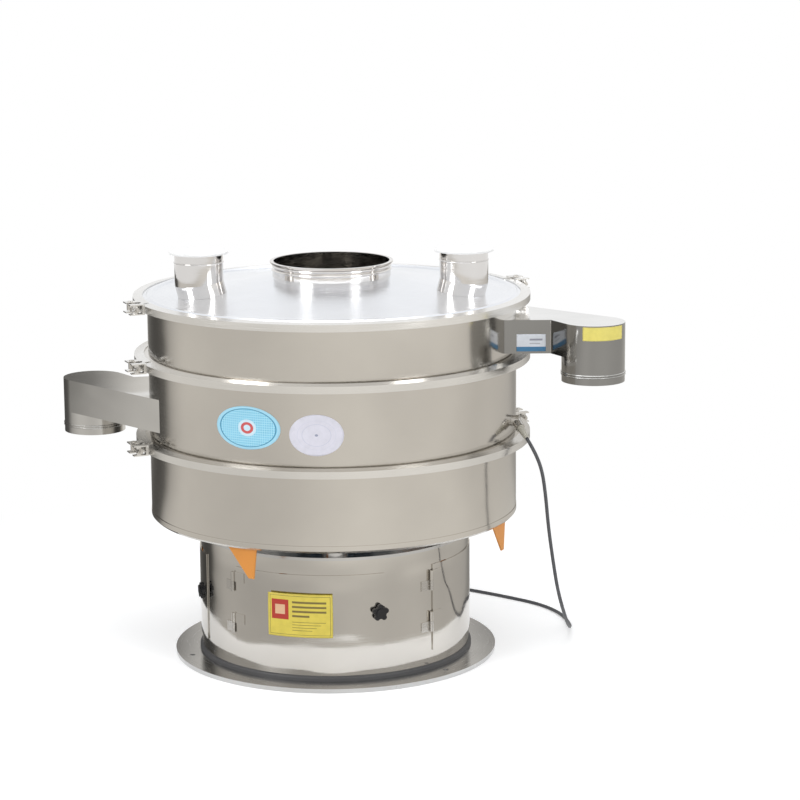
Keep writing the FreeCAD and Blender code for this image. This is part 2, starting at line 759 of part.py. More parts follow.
def make_springs():
    """Six coil springs; the wire's middle runs up a helix."""
    rise = plate_level - spring_floor - S.seat_gap * 2 - S.spring_wire
    springs = []
    for index in range(int(S.spring_count.value)):
        helix = primitive(
            "Helix", f"spring_helix_{index}",
            Pitch=rise / S.spring_turns, Height=rise, Radius=S.spring_radius)
        section = primitive("Circle", f"spring_section_{index}", Radius=S.spring_wire / 2)
        section.Placement = Placement(Vector(0, 0, 0), Rotation(Vector(1, 0, 0), 90))
        bind(section, "Placement.Base.x", S.spring_radius)
        spring = doc.addObject("Part::Sweep", f"spring_{index}")
        spring.Sections = [section]
        spring.Spine = (helix, ["Edge1"])
        spring.Solid = True
        spring.Frenet = True
        azimuth = turn(S.spring_count, index + 0.5)
        springs.append(put(
            spring, polar_x(spring_circle, azimuth), polar_y(spring_circle, azimuth),
            spring_floor + S.seat_gap + S.spring_wire / 2, angle=azimuth))
    finish(group("support_springs", *springs), "support_springs")


# ---------------------------------------------------------------- frames


def make_skirt_rim():
    """The turned-in foot of the deck, with the seam groove along its top."""
    outer = S.frame_radius + 1
    inner = outer - S.frame_wall
    top = skirt_foot + S.rim_height
    bend = S.frame_wall * 0.4
    revolved_piece("skirt_rim", [
        (inner, top),
        (inner, skirt_foot + S.rim_bevel + bend),
        (outer - S.rim_bevel - bend, skirt_foot + S.frame_wall),
        (outer - S.rim_bevel - S.rim_lip, skirt_foot + S.frame_wall),
        (outer - S.rim_bevel - S.rim_lip, skirt_foot),
        (outer - S.rim_bevel, skirt_foot),
        (outer, skirt_foot + S.rim_bevel),
        (outer, top - S.seam_depth),
        (outer - S.seam_depth, top - S.seam_depth),
        (outer - S.seam_depth, top),
    ])


def upper_flange(joint, gasket):
    """Corners of the flange under a joint, from the wall outwards."""
    return [
        (S.frame_radius, joint - S.flange_root),
        (flange_radius, joint - S.flange_lip),
        (flange_radius, joint - gasket / 2),
        (frame_inner, joint - gasket / 2),
    ]


def lower_flange(joint, gasket):
    """Corners of the flange over a joint, from the inside outwards."""
    return [
        (frame_inner, joint + gasket / 2),
        (flange_radius, joint + gasket / 2),
        (flange_radius, joint + S.flange_lip),
        (S.frame_radius, joint + S.flange_root),
    ]


def make_motor_frame():
    foot = skirt_foot + S.rim_height
    revolved_piece("motor_frame", [
        (frame_inner, foot),
        (S.frame_radius, foot),
    ] + upper_flange(lower_joint, S.gasket))


def make_middle_frame():
    """The frame with the fines outlet and the ledge that carries the dome."""
    ledge = lower_joint + S.ledge_level
    edge = frame_inner - S.ledge_width
    body = new_body("middle_shell")
    revolve(body, "middle_shell", lower_flange(lower_joint, S.gasket)
            + upper_flange(mesh_joint, S.mesh_gasket) + [
        (frame_inner, ledge + S.dome_sheet),
        (edge, ledge + S.dome_sheet),
        (edge, ledge),
        (frame_inner, ledge),
    ])
    finish(cut("middle_frame", body, fines.opening("middle_opening")), "middle_frame")


def make_top_frame():
    body = new_body("top_shell")
    revolve(body, "top_shell", lower_flange(mesh_joint, S.mesh_gasket) + upper_flange(lid_joint, S.gasket))
    finish(cut("top_frame", body, oversize.opening("top_opening")), "top_frame")


class Outlet:
    """A tangential box that ends in a round downward spout.

    It is drawn with the spout's middle on its own +X: a near side that folds
    at a corner, the round end about the spout, and a straight far side.
    """

    def __init__(self, name, reach, azimuth, floor, drop, far_reach, far_side):
        self.name = name
        self.reach = reach
        self.azimuth = azimuth
        self.floor = floor
        self.drop = drop
        self.far = (far_reach, far_side)
        self.near = (near_reach, -S.near_side)
        self.corner = (reach - S.corner_back, -S.corner_side)

    def corners(self, inset):
        """Inner end of the near side, its fold, and inner end of the far side,
        each drawn in by a wall's thickness."""
        spout = Vector(self.reach.value, 0, 0)
        near, corner, far = (Vector(x.value, y.value, 0) for x, y in (self.near, self.corner, self.far))
        beside_near = left_of(corner - near)
        beside_fold = left_of(tangent_point(corner, spout, S.spout_radius.value, -1) - corner)
        beside_far = left_of(far - tangent_point(far, spout, S.spout_radius.value, 1))
        at_fold = (beside_near + beside_fold) * (1 / (1 + beside_near.dot(beside_fold)))
        return [
            (point[0] + inset * inward.x, point[1] + inset * inward.y)
            for point, inward in (
                (self.near, beside_near), (self.corner, at_fold), (self.far, beside_far))
        ]

    def plan(self, label, inset):
        """The box's outline; the solver keeps both long sides tangent."""
        sketch = doc.addObject("Sketcher::SketchObject", f"{self.name}_{label}_plan")
        corners = self.corners(inset)
        near, corner, far = (Vector(x.value, y.value, 0) for x, y in corners)
        radius = S.spout_radius - inset
        centre = Vector(self.reach.value, 0, 0)
        first = tangent_point(corner, centre, radius.value, -1)
        second = tangent_point(far, centre, radius.value, 1)
        start = math.atan2(first.y, first.x - centre.x)
        end = math.atan2(second.y, second.x - centre.x)
        circle = Part.Circle(centre, Vector(0, 0, 1), radius.value)
        sketch.addGeometry([
            Part.LineSegment(near, corner),
            Part.LineSegment(corner, first),
            Part.ArcOfCircle(circle, start, end),
            Part.LineSegment(second, far),
            Part.LineSegment(far, near),
        ], False)
        sketch.addConstraint([
            Sketcher.Constraint("Coincident", 0, 2, 1, 1),
            Sketcher.Constraint("Tangent", 1, 2, 2, 1),
            Sketcher.Constraint("Tangent", 2, 2, 3, 1),
            Sketcher.Constraint("Coincident", 3, 2, 4, 1),
            Sketcher.Constraint("Coincident", 4, 2, 0, 1),
            Sketcher.Constraint("PointOnObject", 2, 3, -1),
        ])
        dimension(sketch, "DistanceX", ORIGIN_POINT, (2, 3), self.reach)
        index = sketch.addConstraint(Sketcher.Constraint("Radius", 2, radius.value))
        sketch.setExpression(f"Constraints[{index}]", radius.text)
        for point, (x, y) in zip(((0, 1), (1, 1), (4, 1)), corners):
            fix_point(sketch, point, x, y)
        return sketch

    def prism(self, label, inset, foot, height):
        """The box's outline, drawn in by a wall's thickness, as a solid."""
        solid = doc.addObject("Part::Extrusion", f"{self.name}_{label}")
        solid.Base = self.plan(label, as_size(inset))
        solid.DirMode = "Custom"
        solid.Dir = Vector(0, 0, 1)
        solid.Solid = True
        bind(solid, "LengthFwd", height)
        return put(solid, z=foot)

    def opening(self, name):
        """The room inside the box, which the frame's wall leaves open."""
        room = self.prism(name, S.chute_wall, self.floor + S.chute_wall, S.chute_height - S.chute_wall * 2)
        return put(group(f"{name}_turned", room), angle=self.azimuth)

    def make(self):
        mouth = self.floor - self.drop
        wall = S.chute_wall
        shell = self.prism("shell", 0, self.floor, S.chute_height)
        spout = put(
            primitive("Cylinder", f"{self.name}_spout", Radius=S.spout_radius, Height=self.drop + 1),
            x=self.reach, z=mouth)
        beads = [self.bead(number, mouth + S.spout_bead_level + number * 6) for number in (-0.5, 0.5)]
        room = self.prism("room", wall, self.floor + wall, S.chute_height - wall * 2)
        bore = put(
            primitive("Cylinder", f"{self.name}_bore",
                      Radius=S.spout_radius - S.spout_wall, Height=self.drop + wall * 2),
            x=self.reach, z=mouth - 1)
        machine = put(
            primitive("Cylinder", f"{self.name}_machine",
                      Radius=S.frame_radius + S.weld_gap, Height=S.chute_height * 2),
            z=self.floor - S.chute_height / 2)
        outside = join(f"{self.name}_outside", shell, spout, *beads)
        outlet = cut(f"{self.name}_outlet", outside, room, bore, machine)
        put(outlet, angle=self.azimuth)
        finish(outlet, f"{self.name}_outlet")

    def bead(self, number, level):
        half = S.spout_bead / 2
        ring = primitive("Torus", f"{self.name}_bead_{number:+.1f}", Radius1=S.spout_radius, Radius2=half)
        return put(ring, x=self.reach, z=level)


def left_of(way):
    return Vector(-way.y, way.x, 0).normalize()


def tangent_point(point, centre, radius, side):
    """Where a line from a point touches a circle; side 1 is its left."""
    away = centre - point
    bearing = math.atan2(away.y, away.x) + side * math.asin(radius / away.Length)
    reach = math.sqrt(away.Length ** 2 - radius ** 2)
    return point + Vector(math.cos(bearing), math.sin(bearing), 0) * reach


fines = Outlet(
    "fines", fines_reach, S.fines_azimuth, lower_joint + S.fines_floor, S.fines_drop,
    fines_far_reach, S.fines_far_side)
oversize = Outlet(
    "oversize", oversize_reach, S.oversize_azimuth, mesh_joint + S.oversize_floor, S.oversize_drop,
    oversize_far_reach, S.oversize_far_side)


# ---------------------------------------------------------------- gaskets and mesh


def make_gaskets():
    rings = []
    for name, joint in (("lid_gasket", lid_joint), ("lower_gasket", lower_joint)):
        rings.append(tube(name, flange_radius - 1, frame_inner - 3, S.gasket, joint - S.gasket / 2))
    finish(group("flat_gaskets", *rings), "flat_gaskets")
    half = S.mesh_gasket / 2
    slot = S.mesh_rim_sheet / 2
    inner = hoop_radius + 3
    outer = flange_radius - 1
    revolved_piece("mesh_gasket", [
        (inner, mesh_joint - half),
        (outer, mesh_joint - half),
        (outer, mesh_joint + half),
        (inner, mesh_joint + half),
        (inner, mesh_joint + slot),
        (mesh_rim + S.weld_gap, mesh_joint + slot),
        (mesh_rim + S.weld_gap, mesh_joint - slot),
        (inner, mesh_joint - slot),
    ])


def make_mesh():
    rim_top = mesh_joint + S.mesh_rim_sheet / 2
    rim_foot = mesh_joint - S.mesh_rim_sheet / 2
    inner = hoop_radius - S.hoop_wall
    foot = rim_top - S.hoop_height
    revolved_piece("mesh_frame", [
        (inner, foot),
        (hoop_radius, foot),
        (hoop_radius, rim_foot),
        (mesh_rim, rim_foot),
        (mesh_rim, rim_top),
        (inner, rim_top),
    ])
    cloth = new_body("mesh_cloth")
    disc = new_sketch(cloth, "mesh_disc", level=rim_top)
    draw_circle(disc, 0, 0, hoop_radius + 2)
    pad(cloth, "mesh_disc", disc, S.mesh_thickness)
    finish(cloth, "mesh_cloth")


def make_resonance_ring():
    """The ring that spreads the ultrasound, on three spokes from its hub."""
    top = mesh_joint + S.mesh_rim_sheet / 2
    foot = top - S.resonance_height
    body = tube("resonance_ring", S.resonance_radius, S.resonance_radius - S.resonance_width,
                S.resonance_height, foot)
    hub = new_sketch(body, "resonance_hub_plan", level=foot)
    draw_circle(hub, 0, 0, S.transducer_radius + 6)
    pad(body, "resonance_hub", hub, S.resonance_height)
    spoke = new_sketch(body, "resonance_spoke_plan", level=foot)
    reach = hoop_radius - S.hoop_wall - S.weld_gap
    draw_outline(spoke, rectangle(10, reach, -S.resonance_width / 2, S.resonance_width / 2))
    arm = pad(body, "resonance_spoke", spoke, S.resonance_height - 2)
    polar(body, "resonance_spoke", arm, 3)
    put(body, angle=S.lead_azimuth + 60)
    finish(body, "resonance_ring")


def make_transducer():
    top = mesh_joint + S.mesh_rim_sheet / 2 - S.resonance_height
    foot = top - S.transducer_height
    waist = S.transducer_radius * 0.7
    revolved_piece("transducer", [
        (0, foot),
        (waist, foot),
        (S.transducer_radius, foot + 8),
        (S.transducer_radius, top - 14),
        (waist, top - 10),
        (waist, top),
        (0, top),
    ])


def make_dome():
    """The shallow cone that sheds the fines to their outlet."""
    level = lower_joint + S.ledge_level + S.dome_sheet
    run = frame_inner - S.ledge_width - 3
    curve = (run * run + S.dome_rise * S.dome_rise) / (S.dome_rise * 2)
    edge = frame_inner - S.seat_gap
    revolved_piece("dome_plate", [
        (0, level + S.dome_rise),
        (run, level, curve, 1),
        (edge, level),
        (edge, level + S.dome_sheet),
        (run, level + S.dome_sheet),
        (0, level + S.dome_sheet + S.dome_rise, curve, -1),
    ])


# ---------------------------------------------------------------- lid


neck_foot = lid_level + S.lid_crown


def make_lid():
    """The crowned lid, with a step and a ridge inside the clamped edge."""
    sheet = S.lid_sheet
    ridge = lid_level + S.lid_ridge
    hole = S.neck_radius + S.weld_gap
    body = new_body("lid_shell")
    revolve(body, "lid_shell", [
        (frame_inner, lid_joint + S.gasket / 2),
        (flange_radius, lid_joint + S.gasket / 2),
        (flange_radius, lid_joint + S.flange_lip),
        (frame_inner + 6, lid_level - 0.3),
        (frame_inner + 2, ridge),
        (frame_inner - 9, ridge),
        (frame_inner - 13, lid_level),
        (frame_inner - 21, lid_level),
        (hole, neck_foot, S.lid_curve, 1),
        (hole, neck_foot - sheet),
        (frame_inner - 21, lid_level - sheet, S.lid_curve - sheet, -1),
        (frame_inner - 12, lid_level - sheet),
        (frame_inner - 8, ridge - sheet),
        (frame_inner, ridge - sheet),
    ])
    bores = [lid_bore(f"lid_bore_{side}", side) for side in (-1, 1)]
    finish(cut("lid", body, *bores), "lid")


def make_inlet_neck():
    inner = S.neck_radius - S.neck_wall
    rim_foot = neck_top - S.neck_wall
    upper_bead = rim_foot - 4
    lower_bead = upper_bead - S.neck_bead * 2 - 3
    bulge = S.neck_bead * 1.05
    revolved_piece("inlet_neck", [
        (inner, neck_foot - 6),
        (S.neck_radius, neck_foot - 6),
        (S.neck_radius, lower_bead - S.neck_bead * 2),
        (S.neck_radius, lower_bead, bulge, -1),
        (S.neck_radius, upper_bead - S.neck_bead * 2),
        (S.neck_radius, upper_bead, bulge, -1),
        (S.neck_radius, rim_foot),
        (neck_rim, rim_foot),
        (neck_rim, neck_top),
        (inner, neck_top),
    ])


def port_azimuth(side):
    """Both ports stand in front of the middle, one to each side."""
    return -S.port_azimuth if side > 0 else S.port_azimuth + 180


def leaning_rod(name, radius):
    """The lower stretch of a port as a solid rod; its mitre is at the origin."""
    length = mitre_level - lid_level + 40
    back = length - S.port_radius * 0.5
    tilt = S.port_tilt
    rod = primitive("Cylinder", name, Radius=radius, Height=length)
    return put(rod, x=-polar_y(back, tilt), z=-polar_x(back, tilt), axis=Vector(0, 1, 0), angle=tilt)


def lid_bore(name, side):
    """What a port takes out of the lid."""
    rod = leaning_rod(f"{name}_rod", S.port_radius + S.weld_gap)
    return place_port(group(name, rod), side)


def place_port(thing, side):
    azimuth = port_azimuth(side)
    x, y = polar_x(port_reach, azimuth), polar_y(port_reach, azimuth)
    return put(thing, x, y, mitre_level, angle=azimuth)


def mitre_block(name, above):
    """Everything over, or under, the plane where pipe and collar meet."""
    size = S.port_radius * 4
    block = primitive("Box", name, Length=size, Width=size, Height=size)
    half_tilt = S.port_tilt / 2
    depth = 0 if above else size
    x = -polar_x(size / 2, half_tilt) - polar_y(depth, half_tilt)
    z = polar_y(size / 2, half_tilt) - polar_x(depth, half_tilt)
    return put(block, x, -size / 2, z, axis=Vector(0, 1, 0), angle=half_tilt)


def port_pipe(name, radius, start, end):
    return put(primitive("Cylinder", name, Radius=radius, Height=end - start), z=start)


def make_port(name, side):
    """A pipe stub: a leaning collar off the lid, mitred to an upright pipe."""
    top = port_top - mitre_level
    collar = leaning_rod(f"{name}_collar", S.port_radius)
    collar_bore = leaning_rod(f"{name}_collar_bore", S.port_radius - S.port_wall)
    low = cut(f"{name}_low", collar, mitre_block(f"{name}_over", True), collar_bore)
    pipe = port_pipe(f"{name}_pipe", S.port_radius, -S.port_radius, top)
    bore = port_pipe(f"{name}_bore", S.port_radius - S.port_wall, -S.port_radius - 1, top + 1)
    high = cut(f"{name}_high", pipe, mitre_block(f"{name}_under", False), bore)
    bead = primitive("Torus", f"{name}_bead", Radius1=S.port_radius, Radius2=S.port_bead / 2)
    put(bead, z=port_bead_level - mitre_level)
    bead_cut = cut(f"{name}_bead_open", bead, port_pipe(f"{name}_bead_bore", S.port_radius - 1, 0, top))
    stub = place_port(group(f"{name}_stub", join(f"{name}_whole", low, high, bead_cut)), side)
    under = lid_underlay(f"{name}_underlay")
    finish(cut(name, stub, under), name)


def lid_underlay(name):
    """The room under the lid's outer face, which trims the collars."""
    body = new_body(name)
    revolve(body, name, [
        (0, lid_joint - S.port_radius),
        (frame_inner - 21, lid_joint - S.port_radius),
        (frame_inner - 21, lid_level + S.weld_gap),
        (S.neck_radius, neck_foot + S.weld_gap, S.lid_curve, 1),
        (0, neck_foot + S.weld_gap),
    ])
    return body


def make_port_cap(name, side):
    """A white push-in cap that rests on the pipe's end."""
    body = new_body(name)
    plug = S.port_radius - S.port_wall - S.seat_gap
    round_off = S.cap_thickness / 2
    revolve(body, name, [
        (0, 0),
        (plug - S.cap_wall, 0),
        (plug - S.cap_wall, -S.cap_plug),
        (plug, -S.cap_plug),
        (plug, 0),
        (cap_radius, 0),
        (cap_radius, S.cap_thickness - round_off),
        (cap_radius - round_off, S.cap_thickness, round_off, -1),
        (0, S.cap_thickness),
    ])
    azimuth = port_azimuth(side)
    put(body, polar_x(port_reach, azimuth), polar_y(port_reach, azimuth),
        port_top + S.seat_gap, angle=azimuth)
    finish(body, name)


# ---------------------------------------------------------------- clamp bands


def band_profile():
    """The V of a band, open towards the axis."""
    web = band_radius - S.band_sheet
    return [
        (band_inner, S.band_half),
        (web, S.band_web),
        (web, -S.band_web),
        (band_inner, -S.band_half),
        (band_inner, -S.band_flank),
        (band_radius, -S.band_half),
        (band_radius, S.band_half),
        (band_inner, S.band_flank),
    ]


def make_band(name, joint, angle, lug_end):
    """Half a band, over its own +Y, with a lug near each end."""
    body = new_body(name)
    revolve(body, name, band_profile(), 180)
    gap = new_sketch(body, f"{name}_gap_plan")
    draw_outline(gap, rectangle(-band_radius * 1.1, band_radius * 1.1, -S.band_gap, S.band_gap / 2))
    pocket(body, f"{name}_gap", gap, S.band_half * 4)
    tall = (lug_half + S.lug_sheet) * 2
    root = band_radius - 4
    for side in (-1, 1):
        tag = "left" if side < 0 else "right"
        lug = new_sketch(body, f"{name}_{tag}_lug_plan")
        ends = sorted((root * side, lug_radius * side), key=lambda size: size.value)
        draw_outline(lug, rectangle(*ends, S.lug_start, lug_end))
        pad(body, f"{name}_{tag}_lug", lug, tall, midplane=True)
        room = new_sketch(body, f"{name}_{tag}_room_plan")
        ends = sorted(((band_radius + 3) * side, (lug_radius + 1) * side), key=lambda size: size.value)
        draw_outline(room, rectangle(*ends, S.lug_start - 1, lug_end + 1))
        pocket(body, f"{name}_{tag}_room", room, lug_half * 2)
    put(body, z=joint, angle=angle)
    return body


def make_rear_band(name, joint):
    """The half that carries the eye bolts' pins."""
    body = make_band(name, joint, S.band_split, S.lug_end)
    bores = new_sketch(body, f"{name}_bore_plan")
    for side in (-1, 1):
        draw_circle(bores, clamp_radius * side, S.pivot_offset, S.pivot_radius + S.running_gap)
    pocket(body, f"{name}_bores", bores, lug_half * 4)
    finish(body, name)


def make_front_band(name, joint):
    """The half whose slotted posts take the eye bolts' shanks."""
    body = make_band(name, joint, S.band_split + 180, S.lug_end - 10)
    posts = new_sketch(body, f"{name}_post_plan")
    for side in (-1, 1):
        draw_circle(posts, clamp_radius * side, S.trunnion_offset, S.trunnion_radius)
    pad(body, f"{name}_posts", posts, lug_half * 2 + 1, midplane=True)
    for side in (-1, 1):
        tag = "left" if side < 0 else "right"
        slot = new_sketch(body, f"{name}_{tag}_slot_plan")
        inner = (clamp_radius - bolt_slot / 2) * side
        outer = (lug_radius + 1) * side
        ends = sorted((inner, outer), key=lambda size: size.value)
        draw_outline(slot, rectangle(*ends, S.lug_start - 1, S.lug_end + 1))
        pocket(body, f"{name}_{tag}_slot", slot, bolt_slot)
    finish(body, name)


def make_clamp_bolt(name, joint, end):
    """An eye bolt with its nut, closed over the split.

    Its own origin is the pin; the shank runs along its -Y.
    """
    reach = S.pivot_offset + S.trunnion_offset + S.trunnion_radius
    nut_start = reach + S.seat_gap
    length = nut_start + S.nut_height + S.shank_over
    eye = put(primitive("Cylinder", f"{name}_eye", Radius=S.eye_radius, Height=S.eye_height),
              z=-S.eye_height / 2)
    shank = primitive("Cylinder", f"{name}_shank", Radius=S.bolt_radius, Height=length)
    put(shank, axis=Vector(1, 0, 0), angle=90)
    nut = primitive("Prism", f"{name}_nut", Circumradius=S.nut_radius, Height=S.nut_height)
    nut.Polygon = 6
    put(nut, y=-nut_start, axis=Vector(1, 0, 0), angle=90)
    fit = S.pivot_radius + S.running_gap
    bore = put(primitive("Cylinder", f"{name}_bore", Radius=fit, Height=S.eye_height * 2), z=-S.eye_height)
    bolt = cut(f"{name}_closed", join(f"{name}_blank", eye, shank, nut), bore)
    if end:
        bolt = mirrored(bolt, f"{name}_handed")
    azimuth, x, y = pivot_place(end)
    finish(put(group(name, bolt), x, y, joint, angle=azimuth), name)


def pivot_place(end):
    """Turn and middle of a clamp's pin: end 0 is at the split, end 1 opposite."""
    azimuth = S.band_split + 180 * end
    side = -1 if end else 1
    x = polar_x(clamp_radius, azimuth) - polar_y(S.pivot_offset, azimuth) * side
    y = polar_y(clamp_radius, azimuth) + polar_x(S.pivot_offset, azimuth) * side
    return azimuth, x, y


def mirrored(thing, name):
    mirror = doc.addObject("Part::Mirroring", name)
    mirror.Source = thing
    mirror.Base = Vector(0, 0, 0)
    mirror.Normal = Vector(0, 1, 0)
    return mirror


def make_pivot_pins():
    """Headed pins through the lugs, one for each eye bolt."""
    pins = []
    half = lug_half + S.lug_sheet
    for number, joint in enumerate((lid_joint, mesh_joint, lower_joint)):
        for end in (0, 1):
            name = f"pin_{number}_{end}"
            body = new_body(name)
            rod = new_sketch(body, f"{name}_rod", level=-half - 2)
            draw_circle(rod, 0, 0, S.pivot_radius)
            pad(body, f"{name}_rod", rod, half * 2 + 4)
            for face, level in (("foot", -half - 2), ("head", half)):
                disc = new_sketch(body, f"{name}_{face}", level=level)
                draw_circle(disc, 0, 0, S.pivot_head)
                pad(body, f"{name}_{face}", disc, 2)
            azimuth, x, y = pivot_place(end)
            pins.append(put(body, x, y, joint))
    finish(group("clamp_pins", *pins), "clamp_pins")


# ---------------------------------------------------------------- motor


def make_motor_plate():
    body = tube("motor_plate", frame_inner - S.weld_gap, S.plate_hole, S.plate_thickness, plate_level)
    collar = new_sketch(body, "collar_plan", level=plate_level)
    draw_circle(collar, 0, 0, collar_radius)
    draw_circle(collar, 0, 0, collar_radius - S.rib_sheet)
    pad(body, "collar", collar, S.plate_thickness + S.collar_height)
    rib = new_sketch(body, "rib_profile", "XZ_Plane")
    draw_outline(rib, [
        (collar_radius - 2, plate_top - 1),
        (frame_inner - 17, plate_top - 1),
        (frame_inner - 17, plate_top + 12),
        (collar_radius - 2, plate_top + S.collar_height - 10),
    ])
    rib_pad = pad(body, "rib", rib, S.rib_sheet, midplane=True)
    polar(body, "rib", rib_pad, S.rib_count)
    add_spring_cups(body, "upper_cup", plate_level - S.cup_height)
    hole = new_sketch(body, "plate_bolt_plan", level=plate_level)
    draw_circle(hole, motor_bolt_circle, 0, S.motor_bolt_radius + S.seat_gap)
    drilled = pocket(body, "plate_bolt", hole, S.plate_thickness * 3)
    polar(body, "plate_bolt", drilled, S.motor_bolt_count)
    finish(body, "motor_plate")


def make_motor_housing():
    bore = S.shaft_radius + S.running_gap
    flange_foot = plate_level - S.motor_flange_thickness
    shield = motor_core * 0.75
    body = new_body("motor_housing")
    revolve(body, "motor_shell", [
        (bore, motor_bottom - 15),
        (shield, motor_bottom - 15),
        (motor_core, motor_bottom),
        (motor_core, flange_foot),
        (S.motor_flange, flange_foot),
        (S.motor_flange, plate_level),
        (motor_core, plate_level),
        (motor_core, motor_top),
        (shield, motor_top + 5),
        (bore, motor_top + 5),
    ])
    fin = new_sketch(body, "fin_plan", level=motor_bottom + 10)
    draw_outline(fin, rectangle(motor_core - 2, S.motor_radius, -S.fin_width / 2, S.fin_width / 2))
    fin_pad = pad(body, "fin", fin, flange_foot - motor_bottom - 9)
    polar(body, "fin", fin_pad, S.motor_fins)
    hole = new_sketch(body, "flange_bolt_plan", level=plate_level)
    draw_circle(hole, motor_bolt_circle, 0, S.motor_bolt_radius + S.seat_gap)
    drilled = pocket(body, "flange_bolt", hole, S.motor_flange_thickness * 3)
    polar(body, "flange_bolt", drilled, S.motor_bolt_count)
    finish(body, "motor_housing")


def make_motor_bolts():
    bolts = []
    head = 8
    foot = plate_level - S.motor_flange_thickness - head
    length = S.motor_flange_thickness + S.plate_thickness + head * 2 + 4
    for index in range(int(S.motor_bolt_count.value)):
        name = f"motor_bolt_{index}"
        shank = primitive("Cylinder", f"{name}_shank", Radius=S.motor_bolt_radius, Height=length)
        put(shank, z=foot)
        ends = []
        for end, level in (("head", foot), ("nut", plate_top)):
            corner = S.motor_bolt_radius * 1.8
            hexagon = primitive("Prism", f"{name}_{end}", Circumradius=corner, Height=head)
            hexagon.Polygon = 6
            ends.append(put(hexagon, z=level))
        azimuth = turn(S.motor_bolt_count, index)
        bolts.append(put(join(name, shank, *ends), polar_x(motor_bolt_circle, azimuth),
                         polar_y(motor_bolt_circle, azimuth)))
    finish(group("motor_bolts", *bolts), "motor_bolts")


def make_rotor():
    shaft = new_body("motor_shaft")
    rod = new_sketch(shaft, "shaft_plan", level=shaft_bottom)
    draw_circle(rod, 0, 0, S.shaft_radius)
    pad(shaft, "shaft", rod, shaft_top - shaft_bottom)
    finish(shaft, "motor_shaft")
    make_weight("upper_weight", upper_weight_level, S.upper_weight_height, 0.05)
    make_weight("lower_weight", lower_weight_level, S.lower_weight_height, S.running_gap)


def make_weight(name, level, height, play):
    """An unbalanced sector with its clamping hub."""
    half = S.weight_angle / 2
    body = new_body(name)
    plan = new_sketch(body, f"{name}_plan", level=level)
    draw_outline(plan, [
        (0, 0),
        (polar_x(S.weight_radius, half), -polar_y(S.weight_radius, half)),
        (polar_x(S.weight_radius, half), polar_y(S.weight_radius, half), S.weight_radius, -1),
    ])
    pad(body, name, plan, height)
    hub = new_sketch(body, f"{name}_hub_plan", level=level)
    draw_circle(hub, 0, 0, S.weight_hub)
    pad(body, f"{name}_hub", hub, height)
    bore = new_sketch(body, f"{name}_bore_plan", level=level)
    draw_circle(bore, 0, 0, S.shaft_radius + play)
    pocket(body, f"{name}_bore", bore, height * 3)
    finish(body, name)


def make_transport_brackets():
    """Orange angle plates that hang from the motor plate inside the skirt.

    Each is drawn on its own +X: a face across the radius that narrows to a
    toe near one end, and a shelf under the plate.
    """
    brackets = []
    for index in range(4):
        name = f"bracket_{index}"
        body = new_body(name)
        face = new_sketch(body, f"{name}_face", "YZ_Plane", level=bracket_circle - S.bracket_sheet)
        half = S.bracket_width / 2
        draw_outline(face, [
            (-half, plate_level),
            (-half, plate_level - 20),
            (half - S.bracket_toe - 12, bracket_tip),
            (half - 12, bracket_tip),
            (half, plate_level - 20),
            (half, plate_level),
        ])
        pad(body, f"{name}_face", face, S.bracket_sheet)
        shelf = new_sketch(body, f"{name}_shelf", level=plate_level - S.bracket_sheet)
        draw_outline(shelf, rectangle(
            bracket_circle - S.bracket_shelf, bracket_circle - 1, -half, half))
        pad(body, f"{name}_shelf", shelf, S.bracket_sheet)
        azimuth = S.bracket_azimuth + bracket_step(index)
        brackets.append(put(body, angle=azimuth))
    finish(group("transport_brackets", *brackets), "transport_brackets")


def bracket_step(index):
    """The brackets stand in two pairs, either side of the chutes' line."""
    return turn(2, index // 2) + (S.bracket_pair if index % 2 else 0)


# ---------------------------------------------------------------- signal cable


def vector(x, y, z):
    return Vector(float(x), float(y), float(z))


# The cable's own way: from its gland down to the floor and round behind
SOCKET_LEVEL = (lower_joint + 55).value
SOCKET_BOSS = 16.0
GLAND_NUT = 13.0
GLAND_NUT_LENGTH = 32.0
GLAND_REACH = vector(25.5, -59.4, -37)
lead_way = vector(polar_x(1, S.lead_azimuth).value, polar_y(1, S.lead_azimuth).value, 0)
SOCKET_ELBOW = lead_way * (S.frame_radius + S.weld_gap + 10).value + vector(0, 0, SOCKET_LEVEL)
GLAND_END = SOCKET_ELBOW + GLAND_REACH
CABLE_ROUTE = [
    GLAND_END + vector(*GLAND_REACH).normalize() * 46,
    vector(553, -243, 552),
    vector(564, -234, 480),
    vector(573, -222, 385),
    vector(588, -200, 285),
    vector(605, -155, 190),
    vector(632, -70, 95),
    vector(655, 40, 30),
    vector(668, 150, S.cable_radius.value),
    vector(655, 265, S.cable_radius.value),
    vector(602, 370, S.cable_radius.value),
    vector(512, 452, S.cable_radius.value),
    vector(415, 530, S.cable_radius.value),
    vector(315, 598, S.cable_radius.value),
    vector(235, 627.5, S.cable_radius.value),
]
COIL_CENTRE = vector(100, 575, 0)
coil_outer = S.coil_radius + S.cable_radius * 2
coil_half = (coil_outer.value ** 2 - S.coil_radius.value ** 2) ** 0.5
tail_reach = coil_half + S.coil_tail.value
CABLE_END = COIL_CENTRE + vector(tail_reach, S.coil_radius.value, S.cable_radius.value)


